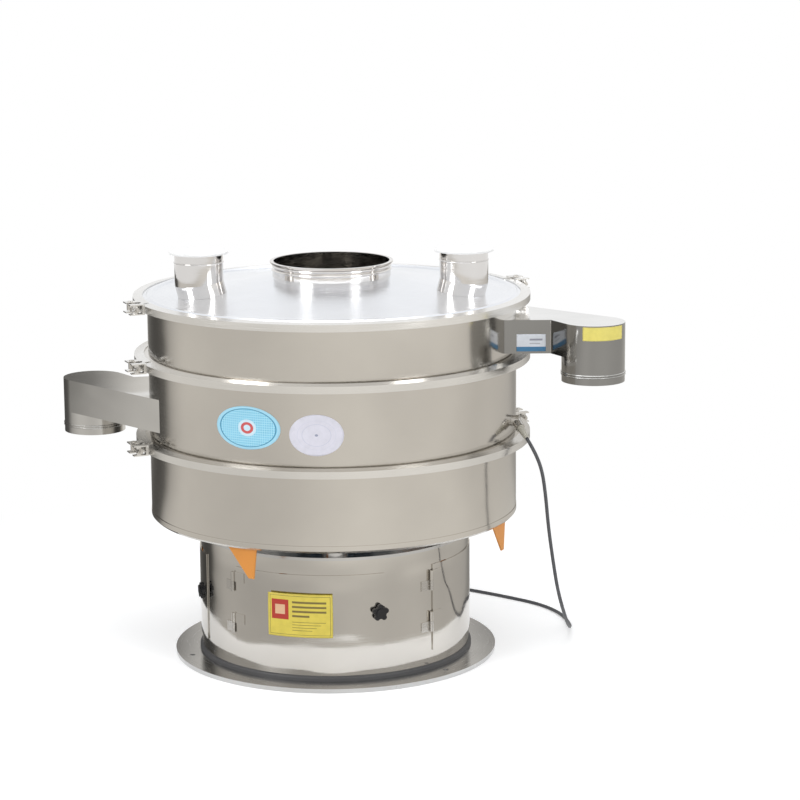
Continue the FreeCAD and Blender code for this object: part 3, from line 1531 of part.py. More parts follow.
def rounded_path(points, radii):
    """Straight runs joined by tangent arcs, one at each inner point."""
    edges = []
    start = points[0]
    for index in range(1, len(points) - 1):
        before = (points[index] - points[index - 1]).normalize()
        after = (points[index + 1] - points[index]).normalize()
        angle = before.getAngle(after)
        trim = radii[index - 1] * math.tan(angle / 2)
        arc_start = points[index] - before * trim
        arc_end = points[index] + after * trim
        inward = (after - before).normalize()
        centre = points[index] + inward * (radii[index - 1] / math.cos(angle / 2))
        middle = centre - inward * radii[index - 1]
        edges.append(Part.LineSegment(start, arc_start).toShape())
        edges.append(Part.Arc(arc_start, middle, arc_end).toShape())
        start = arc_end
    edges.append(Part.LineSegment(start, points[-1]).toShape())
    return Part.Wire(edges)


def bend_radii(points):
    """Each bend as wide as its two runs allow."""
    radii = []
    for before, here, after in zip(points, points[1:], points[2:]):
        angle = (here - before).getAngle(after - here)
        run = min(here.distanceToPoint(before), after.distanceToPoint(here))
        radii.append(0.45 * run / math.tan(angle / 2))
    return radii


def make_signal_cable():
    points = [GLAND_END] + CABLE_ROUTE + [CABLE_END]
    radii = bend_radii(points)
    path = rounded_path(points, radii)
    along = (points[1] - points[0]).normalize()
    circle = Part.makeCircle(S.cable_radius.value, points[0], along)
    solid = path.makePipeShell([Part.Wire(circle)], True, True)
    cable = doc.addObject("Part::Feature", "signal_cable")
    cable.Shape = solid
    expected = math.pi * S.cable_radius.value ** 2 * path.Length
    print("cable length", round(path.Length), "volume over section times length",
          round(solid.Volume / expected, 4))
    print("cable bend radii", [round(radius) for radius in radii])
    finish(cable, "signal_cable")


def lying_rod(name, radius, length, x, y, z, axis=Vector(0, 1, 0), angle=90):
    return put(primitive("Cylinder", name, Radius=radius, Height=length), x, y, z, axis, angle)


def make_cable_coil():
    """The put-away coil as one ring, with the two straight ends that leave it."""
    wire = S.cable_radius
    ring = primitive("Cylinder", "coil_ring", Radius=S.coil_radius + wire * 2, Height=wire * 4)
    room = primitive("Cylinder", "coil_room", Radius=S.coil_radius - wire * 2, Height=wire * 6)
    put(room, z=-wire)
    tails = [
        lying_rod(f"coil_tail_{side}", wire, tail_reach, 0, S.coil_radius * side, wire)
        for side in (-1, 1)
    ]
    coil = join("cable_coil", cut("coil_turns", ring, room), *tails)
    finish(put(coil, COIL_CENTRE.x, COIL_CENTRE.y, 0), "cable_coil")


def make_cable_plug():
    start = COIL_CENTRE.x + tail_reach
    y = COIL_CENTRE.y - S.coil_radius.value
    collar = lying_rod("plug_collar", S.plug_radius, S.plug_length * 0.4, start, y, S.plug_radius)
    shell = lying_rod("plug_shell", S.plug_radius - 1, S.plug_length, start, y, S.plug_radius)
    finish(join("cable_plug", collar, shell), "cable_plug")


def make_cable_socket():
    """The angled socket on the middle frame, with the gland's nut."""
    start = (S.frame_radius + S.weld_gap).value
    foot = lead_way * (start - 6) + vector(0, 0, SOCKET_LEVEL)
    along = (GLAND_END - SOCKET_ELBOW).normalize()
    boss = placed_cylinder("socket_boss", SOCKET_BOSS, 26, foot, lead_way)
    nut = placed_cylinder("socket_nut", GLAND_NUT, GLAND_NUT_LENGTH, SOCKET_ELBOW, along)
    machine = primitive("Cylinder", "socket_machine", Radius=start, Height=200)
    put(machine, z=SOCKET_LEVEL - 100)
    finish(cut("cable_socket", join("socket_whole", boss, nut), machine), "cable_socket")
    cone_start = SOCKET_ELBOW + along * GLAND_NUT_LENGTH
    cone = primitive("Cone", "cable_gland", Radius1=10.5, Radius2=6.5,
                     Height=GLAND_END.distanceToPoint(cone_start))
    cone.Placement = Placement(cone_start, Rotation(vector(0, 0, 1), along))
    finish(cone, "cable_gland")


def placed_cylinder(name, radius, length, foot, along):
    rod = primitive("Cylinder", name, Radius=radius, Height=length)
    rod.Placement = Placement(foot, Rotation(vector(0, 0, 1), along))
    return rod


def make_transducer_lead():
    """The armoured lead from the transducer to the socket's wall."""
    top = (mesh_joint - 40).value
    turn_down = frame_inner.value - 57
    points = [
        lead_way * (S.transducer_radius + S.weld_gap).value + vector(0, 0, top),
        lead_way * turn_down + vector(0, 0, top),
        lead_way * turn_down + vector(0, 0, SOCKET_LEVEL + 40),
        lead_way * (frame_inner - S.weld_gap).value + vector(0, 0, SOCKET_LEVEL + 40),
    ]
    path = rounded_path(points, [30.0, 20.0])
    circle = Part.makeCircle(S.lead_radius.value, points[0], lead_way)
    lead = doc.addObject("Part::Feature", "transducer_lead")
    lead.Shape = path.makePipeShell([Part.Wire(circle)], True, True)
    finish(lead, "transducer_lead")


# ---------------------------------------------------------------- build


def build():
    make_foot_ring()
    make_base_drum()
    make_foot_bead()
    make_spring_plate()
    make_door_hinges()
    for index in range(int(S.door_count.value)):
        make_door(index)
        make_door_knob(index)
    make_motor_cable_gland()
    make_springs()
    make_skirt_rim()
    make_motor_frame()
    make_middle_frame()
    make_top_frame()
    fines.make()
    oversize.make()
    make_gaskets()
    make_mesh()
    make_resonance_ring()
    make_transducer()
    make_transducer_lead()
    make_dome()
    make_lid()
    make_inlet_neck()
    for name, side in (("left", -1), ("right", 1)):
        make_port(f"port_{name}", side)
        make_port_cap(f"port_cap_{name}", side)
    for name, joint in (("lid", lid_joint), ("mesh", mesh_joint), ("lower", lower_joint)):
        make_rear_band(f"{name}_band_rear", joint)
        make_front_band(f"{name}_band_front", joint)
        for end, side in ((0, "right"), (1, "left")):
            make_clamp_bolt(f"{name}_clamp_{side}", joint, end)
    make_pivot_pins()
    make_motor_plate()
    make_motor_housing()
    make_motor_bolts()
    make_rotor()
    make_transport_brackets()
    make_cable_socket()
    make_signal_cable()
    make_cable_coil()
    make_cable_plug()


def check_document():
    doc.recompute()
    failed = [thing.Name for thing in doc.Objects if {"Invalid", "Error"} & set(thing.State)]
    if failed:
        raise RuntimeError(f"these objects failed: {failed}")
    for name, thing in finished:
        if thing.Shape.isNull() or not thing.Shape.isValid() or not thing.Shape.Solids:
            raise RuntimeError(f"{name} has no valid solid")


def export():
    os.makedirs("parts", exist_ok=True)
    for name, thing in finished:
        thing.Shape.exportStep(f"parts/{name}.step")
        print(f"{name:22s} solids {len(thing.Shape.Solids)} volume {thing.Shape.Volume:12.0f}")


build()
check_document()
export()
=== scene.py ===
# %% [markdown]
# # A vibrating sieve, dressed for its portrait
# The CAD frame already has every sheet, clamp and hinge at its true size, so this
# script only adds what CAD leaves out: finishes, printed plates, weld seams, the
# hanging signal cable, and a small studio. All lengths are metres, +Z is up, and
# the front door of the machine faces -Y.

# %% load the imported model
import math

import bpy
import numpy as np
from mathutils import Matrix, Vector


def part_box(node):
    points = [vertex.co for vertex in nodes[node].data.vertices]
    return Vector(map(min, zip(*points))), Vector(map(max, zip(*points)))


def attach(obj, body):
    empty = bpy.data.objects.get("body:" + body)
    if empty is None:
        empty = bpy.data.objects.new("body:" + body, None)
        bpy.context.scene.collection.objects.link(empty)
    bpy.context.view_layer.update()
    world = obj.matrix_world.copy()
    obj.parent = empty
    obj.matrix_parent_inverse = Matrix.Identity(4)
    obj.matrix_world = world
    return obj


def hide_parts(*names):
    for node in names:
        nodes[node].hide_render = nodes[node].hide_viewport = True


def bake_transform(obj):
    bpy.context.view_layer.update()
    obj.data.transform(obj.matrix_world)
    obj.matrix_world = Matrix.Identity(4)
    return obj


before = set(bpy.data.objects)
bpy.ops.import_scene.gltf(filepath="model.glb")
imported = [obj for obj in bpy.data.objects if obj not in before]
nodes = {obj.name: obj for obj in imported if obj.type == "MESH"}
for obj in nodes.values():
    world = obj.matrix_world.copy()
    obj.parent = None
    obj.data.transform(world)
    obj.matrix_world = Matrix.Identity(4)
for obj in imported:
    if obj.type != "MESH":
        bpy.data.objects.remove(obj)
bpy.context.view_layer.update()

# %% [markdown]
# ## The camera
# A long lens from seven metres keeps the rings nearly parallel. The camera is
# built from three directions (right, up and back), because Euler angles hide
# which way a small roll turns the picture.

# %% camera
LENS_MM = 119.8
CAMERA_PLACE = Vector((0.0, -7.139, 2.1317))
HEADING, DOWNWARD, ROLL = (math.radians(angle) for angle in (-1.468, 11.38, -0.39))


def camera_axes(heading, downward, roll):
    """Right and up of a level camera, then both turned about the view by roll."""
    level = Vector((math.cos(heading), math.sin(heading), 0))
    forward = Vector((-math.sin(heading), math.cos(heading), 0))
    upright = Vector((0, 0, 1))
    view = forward * math.cos(downward) - upright * math.sin(downward)
    above = forward * math.sin(downward) + upright * math.cos(downward)
    right = level * math.cos(roll) + above * math.sin(roll)
    return right, above * math.cos(roll) - level * math.sin(roll), -view


camera_data = bpy.data.cameras.new("studio_camera")
camera_data.lens = LENS_MM
camera_data.sensor_width = 36
camera_data.clip_end = 60
camera = bpy.data.objects.new("studio_camera", camera_data)
bpy.context.scene.collection.objects.link(camera)
axes = Matrix(camera_axes(HEADING, DOWNWARD, ROLL)).transposed().to_4x4()
camera.matrix_world = Matrix.Translation(CAMERA_PLACE) @ axes
bpy.context.scene.camera = camera
print("camera looks", [round(value, 3) for value in -axes.col[2].xyz])

# %% [markdown]
# ## Floor, backdrop and light
# Polished steel shows its surroundings more than its own colour. The world is
# plain white to the camera and to reflections, and a slightly dimmer room to
# diffuse light, so that pale paint doesn't burn out. The floor could be one
# white glow, but then the machine would float. So it is a real surface that
# keeps the shadow near the feet and fades to white further out, where it
# meets the background. Three large area lamps make the shadow soft.

# %% node helpers
def new_material(name):
    """An empty node tree that ends in a Principled shader."""
    material = bpy.data.materials.new(name)
    material.use_nodes = True
    tree = material.node_tree
    tree.nodes.clear()
    output = tree.nodes.new("ShaderNodeOutputMaterial")
    shader = tree.nodes.new("ShaderNodeBsdfPrincipled")
    tree.links.new(shader.outputs["BSDF"], output.inputs["Surface"])
    return material, tree, shader


def add(tree, kind, **inputs):
    """A node, with its sockets set by name and its settings by lower-case name."""
    node = tree.nodes.new(f"ShaderNode{kind}")
    for name, value in inputs.items():
        if name[0].islower():
            setattr(node, name, value)
        else:
            node.inputs[name.replace("_", " ")].default_value = value
    return node


def join(tree, source, target):
    tree.links.new(source, target)


print("helpers ready")

# %% world
def build_world():
    """Plain white to the camera and to reflections; a softer room for diffuse light."""
    world = bpy.data.worlds.new("studio_room")
    bpy.context.scene.world = world
    world.use_nodes = True
    tree = world.node_tree
    tree.nodes.clear()
    place = add(tree, "TexCoord")
    split = add(tree, "SeparateXYZ")
    join(tree, place.outputs["Generated"], split.inputs[0])
    height = add(tree, "ValToRGB")
    height.color_ramp.elements[0].position = 0.45
    height.color_ramp.elements[0].color = (0.80, 0.79, 0.78, 1)
    height.color_ramp.elements[1].position = 0.80
    height.color_ramp.elements[1].color = (0.95, 0.97, 1.00, 1)
    lift = add(tree, "MapRange", From_Min=-1.0, From_Max=1.0)
    join(tree, split.outputs["Z"], lift.inputs["Value"])
    join(tree, lift.outputs["Result"], height.inputs["Fac"])
    seen = add(tree, "Background", Color=(1, 1, 1, 1), Strength=1.0)
    room = add(tree, "Background", Strength=ROOM_LEVEL)
    join(tree, height.outputs["Color"], room.inputs["Color"])
    ray = add(tree, "LightPath")
    sharp = add(tree, "Math", operation="MAXIMUM")
    join(tree, ray.outputs["Is Camera Ray"], sharp.inputs[0])
    join(tree, ray.outputs["Is Glossy Ray"], sharp.inputs[1])
    direct = add(tree, "Math", operation="MAXIMUM")
    join(tree, sharp.outputs[0], direct.inputs[0])
    join(tree, ray.outputs["Is Transmission Ray"], direct.inputs[1])
    pick = add(tree, "MixShader")
    join(tree, direct.outputs[0], pick.inputs[0])
    join(tree, room.outputs[0], pick.inputs[1])
    join(tree, seen.outputs[0], pick.inputs[2])
    output = add(tree, "OutputWorld")
    join(tree, pick.outputs[0], output.inputs["Surface"])


ROOM_LEVEL = 0.75
build_world()
bpy.context.scene.view_settings.view_transform = "Standard"
print("room level", ROOM_LEVEL)

# %% floor
def grid_mesh(name, points, close_u=False, close_v=False):
    """A mesh from an array of points shaped (rows, columns, 3), faces outwards."""
    rows, columns = points.shape[:2]
    index = np.arange(rows * columns).reshape(rows, columns)
    if close_u:
        index = np.concatenate([index, index[:1]], axis=0)
    if close_v:
        index = np.concatenate([index, index[:, :1]], axis=1)
    quads = np.stack([index[:-1, :-1], index[:-1, 1:], index[1:, 1:], index[1:, :-1]], axis=-1)
    mesh = bpy.data.meshes.new(name)
    mesh.from_pydata(points.reshape(-1, 3).tolist(), [], quads.reshape(-1, 4).tolist())
    mesh.update()
    return mesh


def new_piece(name, mesh, material, smooth=True):
    """An object at the origin, with its place in its mesh."""
    piece = bpy.data.objects.new(name, mesh)
    bpy.context.scene.collection.objects.link(piece)
    mesh.materials.append(material)
    mesh.polygons.foreach_set("use_smooth", [smooth] * len(mesh.polygons))
    return piece


def floor_material():
    """Pale floor with the object's shadow, which fades to plain white further out."""
    material = bpy.data.materials.new("studio_floor")
    material.use_nodes = True
    tree = material.node_tree
    tree.nodes.clear()
    base = add(tree, "BsdfDiffuse", Color=(0.86, 0.86, 0.86, 1), Roughness=0.6)
    lift = add(tree, "Emission", Color=(1, 1, 1, 1))
    ray = add(tree, "LightPath")
    sharp = add(tree, "Math", operation="MAXIMUM")
    join(tree, ray.outputs["Is Camera Ray"], sharp.inputs[0])
    join(tree, ray.outputs["Is Glossy Ray"], sharp.inputs[1])
    bright = add(tree, "Math", operation="MULTIPLY")
    join(tree, sharp.outputs[0], bright.inputs[0])
    bright.inputs[1].default_value = FLOOR_LIFT
    join(tree, bright.outputs[0], lift.inputs["Strength"])
    lit = add(tree, "AddShader")
    join(tree, base.outputs[0], lit.inputs[0])
    join(tree, lift.outputs[0], lit.inputs[1])
    place = add(tree, "TexCoord")
    reach = add(tree, "VectorMath", operation="LENGTH")
    join(tree, place.outputs["Object"], reach.inputs[0])
    far = add(tree, "MapRange", interpolation_type="SMOOTHSTEP", From_Min=FADE_START, From_Max=FADE_END)
    join(tree, reach.outputs["Value"], far.inputs["Value"])
    fade = add(tree, "Math", operation="MULTIPLY")
    join(tree, far.outputs["Result"], fade.inputs[0])
    join(tree, sharp.outputs[0], fade.inputs[1])
    white = add(tree, "Emission", Color=(1, 1, 1, 1), Strength=1.0)
    both = add(tree, "MixShader")
    join(tree, fade.outputs[0], both.inputs[0])
    join(tree, lit.outputs[0], both.inputs[1])
    join(tree, white.outputs[0], both.inputs[2])
    output = add(tree, "OutputMaterial")
    join(tree, both.outputs[0], output.inputs["Surface"])
    return material


FLOOR_LIFT = 0.32
FADE_START, FADE_END = 0.7, 1.9
reach = np.linspace(-14, 14, 15)
across, along = np.meshgrid(reach, reach)
plain = np.stack([across, along, np.zeros_like(across)], axis=-1)
floor = new_piece("studio_floor", grid_mesh("studio_floor", plain), floor_material())
print("floor", len(floor.data.polygons), "faces")

# %% [markdown]
# ## What the steel reflects
# A studio photographer stands grey cards round polished metal, because bare
# white walls would leave it without form. Here one low ring of cards does
# that. Only reflections see it: it throws no light or shadow, and the camera
# looks through it. Its tone changes round the ring, with a dark flag at the
# back on each side, which draws the upright dark edges on the drums.

# %% reflection cards
CARD_PROFILE = [(0.72, 0.0), (0.72, 0.30), (1.05, 0.42), (1.05, 0.95)]  # radius, level
LOW_TONE = 0.72
CARD_TONES = [  # degrees round from +X, brightness
    (0, 0.74), (25, 0.62), (36, 0.36), (46, 0.34), (58, 0.76), (92, 0.92), (124, 0.78), (134, 0.10),
    (166, 0.04), (174, 0.52), (188, 0.80), (215, 0.66), (240, 0.70), (262, 0.82), (285, 0.90), (305, 0.78),
    (325, 0.88), (345, 0.70), (360, 0.74),
]


def card_material():
    """A glow whose brightness follows the angle round the upright axis."""
    material = bpy.data.materials.new("studio_cards")
    material.use_nodes = True
    tree = material.node_tree
    tree.nodes.clear()
    place = add(tree, "TexCoord")
    split = add(tree, "SeparateXYZ")
    join(tree, place.outputs["Object"], split.inputs[0])
    turn = add(tree, "Math", operation="ARCTAN2")
    join(tree, split.outputs["Y"], turn.inputs[0])
    join(tree, split.outputs["X"], turn.inputs[1])
    wrapped = add(tree, "Math", operation="WRAP")
    join(tree, turn.outputs[0], wrapped.inputs[0])
    wrapped.inputs[1].default_value = 2 * math.pi
    wrapped.inputs[2].default_value = 0.0
    share = add(tree, "MapRange", From_Max=2 * math.pi)
    join(tree, wrapped.outputs[0], share.inputs["Value"])
    tone = add(tree, "ValToRGB")
    ramp = tone.color_ramp
    ramp.interpolation = "B_SPLINE"
    while len(ramp.elements) < len(CARD_TONES):
        ramp.elements.new(1.0)
    for stop, (degrees, shade) in zip(ramp.elements, CARD_TONES):
        stop.position = degrees / 360
        stop.color = (shade, shade * 0.965, shade * 0.905, 1)
    join(tree, share.outputs["Result"], tone.inputs["Fac"])
    lower = add(tree, "MapRange", interpolation_type="SMOOTHSTEP", From_Min=0.14, From_Max=0.30, To_Min=LOW_TONE)
    join(tree, split.outputs["Z"], lower.inputs["Value"])
    glow = add(tree, "Emission")
    join(tree, tone.outputs["Color"], glow.inputs["Color"])
    join(tree, lower.outputs["Result"], glow.inputs["Strength"])
    output = add(tree, "OutputMaterial")
    join(tree, glow.outputs[0], output.inputs["Surface"])
    return material


def revolved(profile, count):
    """Points (R cos a, R sin a, z) for each (R, z) of a profile and each angle a."""
    radius, level = np.array(profile).T[:, :, None]
    turn = np.linspace(0, 2 * math.pi, count, endpoint=False)
    return np.stack([np.cos(turn) * radius, np.sin(turn) * radius, np.broadcast_to(level, (len(radius), count))],
                    axis=-1)


ring = revolved(CARD_PROFILE, 96)
cards = new_piece("studio_cards", grid_mesh("studio_cards", ring, close_v=True), card_material())
for unseen_by in ("camera", "diffuse", "shadow", "transmission", "volume_scatter"):
    setattr(cards, f"visible_{unseen_by}", False)
print("cards", len(cards.data.polygons), "faces")

# %% lamps
def softbox(name, place, target, width, height, power):
    lamp = bpy.data.lights.new(name, "AREA")
    lamp.shape = "RECTANGLE"
    lamp.size, lamp.size_y = width, height
    lamp.energy = power
    holder = bpy.data.objects.new(name, lamp)
    bpy.context.scene.collection.objects.link(holder)
    look = (Vector(target) - Vector(place)).to_track_quat("-Z", "Y")
    holder.matrix_world = Matrix.Translation(place) @ look.to_matrix().to_4x4()
    return holder


MIDDLE = (0, 0, 0.6)
softbox("top_softbox", (0.2, -0.4, 4.2), MIDDLE, 3.0, 3.0, 62)
softbox("left_softbox", (-3.6, -2.8, 2.4), MIDDLE, 1.8, 2.6, 60)
softbox("right_softbox", (3.4, -3.2, 2.0), MIDDLE, 1.6, 2.4, 40)
print("lamps", [lamp.name for lamp in bpy.data.lights])

# %% [markdown]
# ## The signal cable
# The cable leaves the gland, hangs in one loose bow beside the deck and runs
# behind the machine, where its spare length lies in a flat coil. It could be
# a bevelled curve, but the deck's stroke has to bend it between gland and
# floor, and only a mesh can be bent that way, so it is a mesh, though this
# script doesn't bend it. A smooth spline through the route gives a line of
# points, and one tube follows them, gland to plug.

# %% cable route, metres
CABLE_RADIUS = 0.00475
GLAND_END = (0.51594, -0.20003, 0.626)
HANGING = [
    GLAND_END, (0.5317, -0.2367, 0.6031), (0.553, -0.243, 0.552), (0.564, -0.234, 0.480),
    (0.573, -0.222, 0.385), (0.588, -0.200, 0.285), (0.605, -0.155, 0.190), (0.632, -0.070, 0.095),
    (0.655, 0.040, 0.030),
]
LYING = [
    (0.668, 0.150, CABLE_RADIUS), (0.655, 0.265, CABLE_RADIUS), (0.602, 0.370, CABLE_RADIUS),
    (0.512, 0.452, CABLE_RADIUS), (0.415, 0.530, CABLE_RADIUS), (0.315, 0.598, CABLE_RADIUS),
    (0.235, 0.6275, CABLE_RADIUS), (0.178, 0.6275, CABLE_RADIUS),
]
COIL_CENTRE = np.array([0.100, 0.575])
COIL_MIDDLE = 0.0525
POINTS_PER_TURN = 16


def eased(value, keys):
    """Values between (place, value) keys, joined by a smooth step."""
    places, values = np.array(keys).T
    spot = np.clip(np.searchsorted(places, value, side="right") - 1, 0, len(places) - 2)
    share = np.clip((value - places[spot]) / (places[spot + 1] - places[spot]), 0, 1)
    return values[spot] + (values[spot + 1] - values[spot]) * share * share * (3 - 2 * share)


def coil_points():
    """Two and a half turns: outer, then inner on the floor, then one on top.

    A point is the centre plus R(a) (cos a, sin a) at height z(a); R and z
    step smoothly where one turn passes another.
    """
    angle = np.arange(90, 991, 360 / POINTS_PER_TURN)
    outer, inner = COIL_MIDDLE + CABLE_RADIUS, COIL_MIDDLE - CABLE_RADIUS
    low, high = CABLE_RADIUS, CABLE_RADIUS * 3
    radius = eased(angle, [
        (90, outer), (360, outer), (430, inner), (630, inner), (710, COIL_MIDDLE), (990, COIL_MIDDLE)])
    height = eased(angle, [(90, low), (630, low), (710, high), (990, high)])
    control = radius / math.cos(math.pi / POINTS_PER_TURN)
    turn = np.radians(angle)
    around = np.stack([np.cos(turn), np.sin(turn)], axis=-1) * control[:, None] + COIL_CENTRE
    return np.column_stack([around, height])


def spline_line(name, points):
    """The points of a smooth spline drawn through a route."""
    curve = bpy.data.curves.new(name, "CURVE")
    curve.dimensions = "3D"
    curve.resolution_u = 8
    spline = curve.splines.new("NURBS")
    spline.points.add(len(points) - 1)
    flat = np.column_stack([points, np.ones(len(points))]).astype(np.float32)
    spline.points.foreach_set("co", flat.ravel())
    spline.order_u = 3
    spline.use_endpoint_u = True
    holder = bpy.data.objects.new(name, curve)
    bpy.context.scene.collection.objects.link(holder)
    bpy.context.view_layer.update()
    line = bpy.data.meshes.new_from_object(holder)
    places = np.empty(len(line.vertices) * 3)
    line.vertices.foreach_get("co", places)
    bpy.data.objects.remove(holder)
    bpy.data.curves.remove(curve)
    bpy.data.meshes.remove(line)
    return places.reshape(-1, 3)


coil = coil_points()
plug_low, plug_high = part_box("cable_plug")
plug_level = (plug_low.z + plug_high.z) / 2
exit_side = COIL_CENTRE[1] - COIL_MIDDLE
leaving = [(COIL_CENTRE[0] + reach, exit_side, level) for reach, level in (
    (0.021, CABLE_RADIUS * 3), (0.042, CABLE_RADIUS * 3), (0.060, 0.0118))]
leaving.append((plug_low.x, exit_side, plug_level))
route = np.array(HANGING + LYING + [(0.140, 0.6300, CABLE_RADIUS)] + coil.tolist() + leaving)
cable_line = spline_line("cable_route", route)

# %% tube and revolved surfaces
def frames_along(line):
    """Tangent and two sideways directions at each point, carried without twist."""
    tangent = np.gradient(line, axis=0)
    tangent /= np.linalg.norm(tangent, axis=1, keepdims=True)
    side = np.empty_like(line)
    first = np.cross(tangent[0], (0, 0, 1.0))
    if np.linalg.norm(first) < 0.1:
        first = np.cross(tangent[0], (1.0, 0, 0))
    side[0] = first / np.linalg.norm(first)
    for index in range(1, len(line)):
        moved = side[index - 1] - tangent[index] * np.dot(side[index - 1], tangent[index])
        side[index] = moved / np.linalg.norm(moved)
    return tangent, side, np.cross(tangent, side)


def tube_points(line, radius, sides=12):
    """Rings about a line: P + r (cos a S + sin a T), r may change along it."""
    tangent, side, up = frames_along(line)
    angle = np.linspace(0, 2 * math.pi, sides, endpoint=False)
    ring = np.cos(angle)[None, :, None] * side[:, None] + np.sin(angle)[None, :, None] * up[:, None]
    radius = np.broadcast_to(radius, len(line))
    return line[:, None] + ring * radius[:, None, None]


def tube_mesh(name, lines, radius, sides=12):
    """Closed tubes along one or more lines: their rings, and a fan over each end."""
    points, quads, fans, offset = [], [], [], 0
    around = np.arange(sides)
    following = (around + 1) % sides
    for line in lines:
        rows = len(line)
        start = offset + np.arange(rows - 1)[:, None] * sides
        quads.append(np.stack([
            start + around, start + following, start + sides + following, start + sides + around],
            axis=-1).reshape(-1, 4))
        first, last, tail = offset + rows * sides, offset + rows * sides + 1, offset + (rows - 1) * sides
        fans.append(np.stack([np.full(sides, first), offset + following, offset + around], axis=-1))
        fans.append(np.stack([np.full(sides, last), tail + around, tail + following], axis=-1))
        points.append(np.vstack([tube_points(line, radius, sides).reshape(-1, 3), line[:1], line[-1:]]))
        offset += rows * sides + 2
    mesh = bpy.data.meshes.new(name)
    faces = np.vstack(quads).tolist() + np.vstack(fans).tolist()
    mesh.from_pydata(np.vstack(points).tolist(), [], faces)
    mesh.update()
    return mesh


print("surfaces ready")

# %% [markdown]
# ## Finishes
# Every finish is a node tree on object coordinates, so it lies on the metal
# and not on the picture. The sheet steel has three ways to look polished:
# plain gloss, a fine rolled grain, or gloss with a slow waviness. The real
# sheets show the last, because thin rolled steel never lies true, and their
# reflections wander. The lid is finished with a rotary polisher, so its
# grain runs in circles. Shared effects are node groups that give values.

# %% node groups
def new_group(name, inputs, outputs):
    """A node group with named sockets; returns it with its ends."""
    group = bpy.data.node_groups.new(name, "ShaderNodeTree")
    for label, kind, value in inputs:
        socket = group.interface.new_socket(label, in_out="INPUT", socket_type=kind)
        if value is not None:
            socket.default_value = value
    for label, kind in outputs:
        group.interface.new_socket(label, in_out="OUTPUT", socket_type=kind)
    return group, group.nodes.new("NodeGroupInput"), group.nodes.new("NodeGroupOutput")


def sheet_waviness():
    """A normal that leans slowly and unevenly, as thin rolled sheet does."""
    group, given, result = new_group("sheet_waviness", [
        ("Size", "NodeSocketFloat", 3.0), ("Depth", "NodeSocketFloat", 0.3)], [("Normal", "NodeSocketVector")])
    place = add(group, "TexCoord")
    stretched = add(group, "Mapping")
    stretched.inputs["Scale"].default_value = (1, 1, 2.2)
    join(group, place.outputs["Object"], stretched.inputs["Vector"])
    slow = add(group, "TexNoise", Detail=1.0, Roughness=0.4)
    join(group, given.outputs["Size"], slow.inputs["Scale"])
    join(group, stretched.outputs[0], slow.inputs["Vector"])
    bump = add(group, "Bump", Distance=0.012)
    join(group, given.outputs["Depth"], bump.inputs["Strength"])
    join(group, slow.outputs[0], bump.inputs["Height"])
    join(group, bump.outputs[0], result.inputs["Normal"])
    return group


def around_axis():
    """A point as (angle, radius, height) about the upright axis."""
    group, given, result = new_group("around_axis", [], [
        ("Angle", "NodeSocketFloat"), ("Radius", "NodeSocketFloat"), ("Height", "NodeSocketFloat")])
    place = add(group, "TexCoord")
    split = add(group, "SeparateXYZ")
    join(group, place.outputs["Object"], split.inputs[0])
    angle = add(group, "Math", operation="ARCTAN2")
    join(group, split.outputs["Y"], angle.inputs[0])
    join(group, split.outputs["X"], angle.inputs[1])
    level = add(group, "CombineXYZ")
    join(group, split.outputs["X"], level.inputs["X"])
    join(group, split.outputs["Y"], level.inputs["Y"])
    reach = add(group, "VectorMath", operation="LENGTH")
    join(group, level.outputs[0], reach.inputs[0])
    join(group, angle.outputs[0], result.inputs["Angle"])
    join(group, reach.outputs["Value"], result.inputs["Radius"])
    join(group, split.outputs["Z"], result.inputs["Height"])
    return group


WAVINESS = sheet_waviness()
AROUND = around_axis()
print("groups", [group.name for group in bpy.data.node_groups])

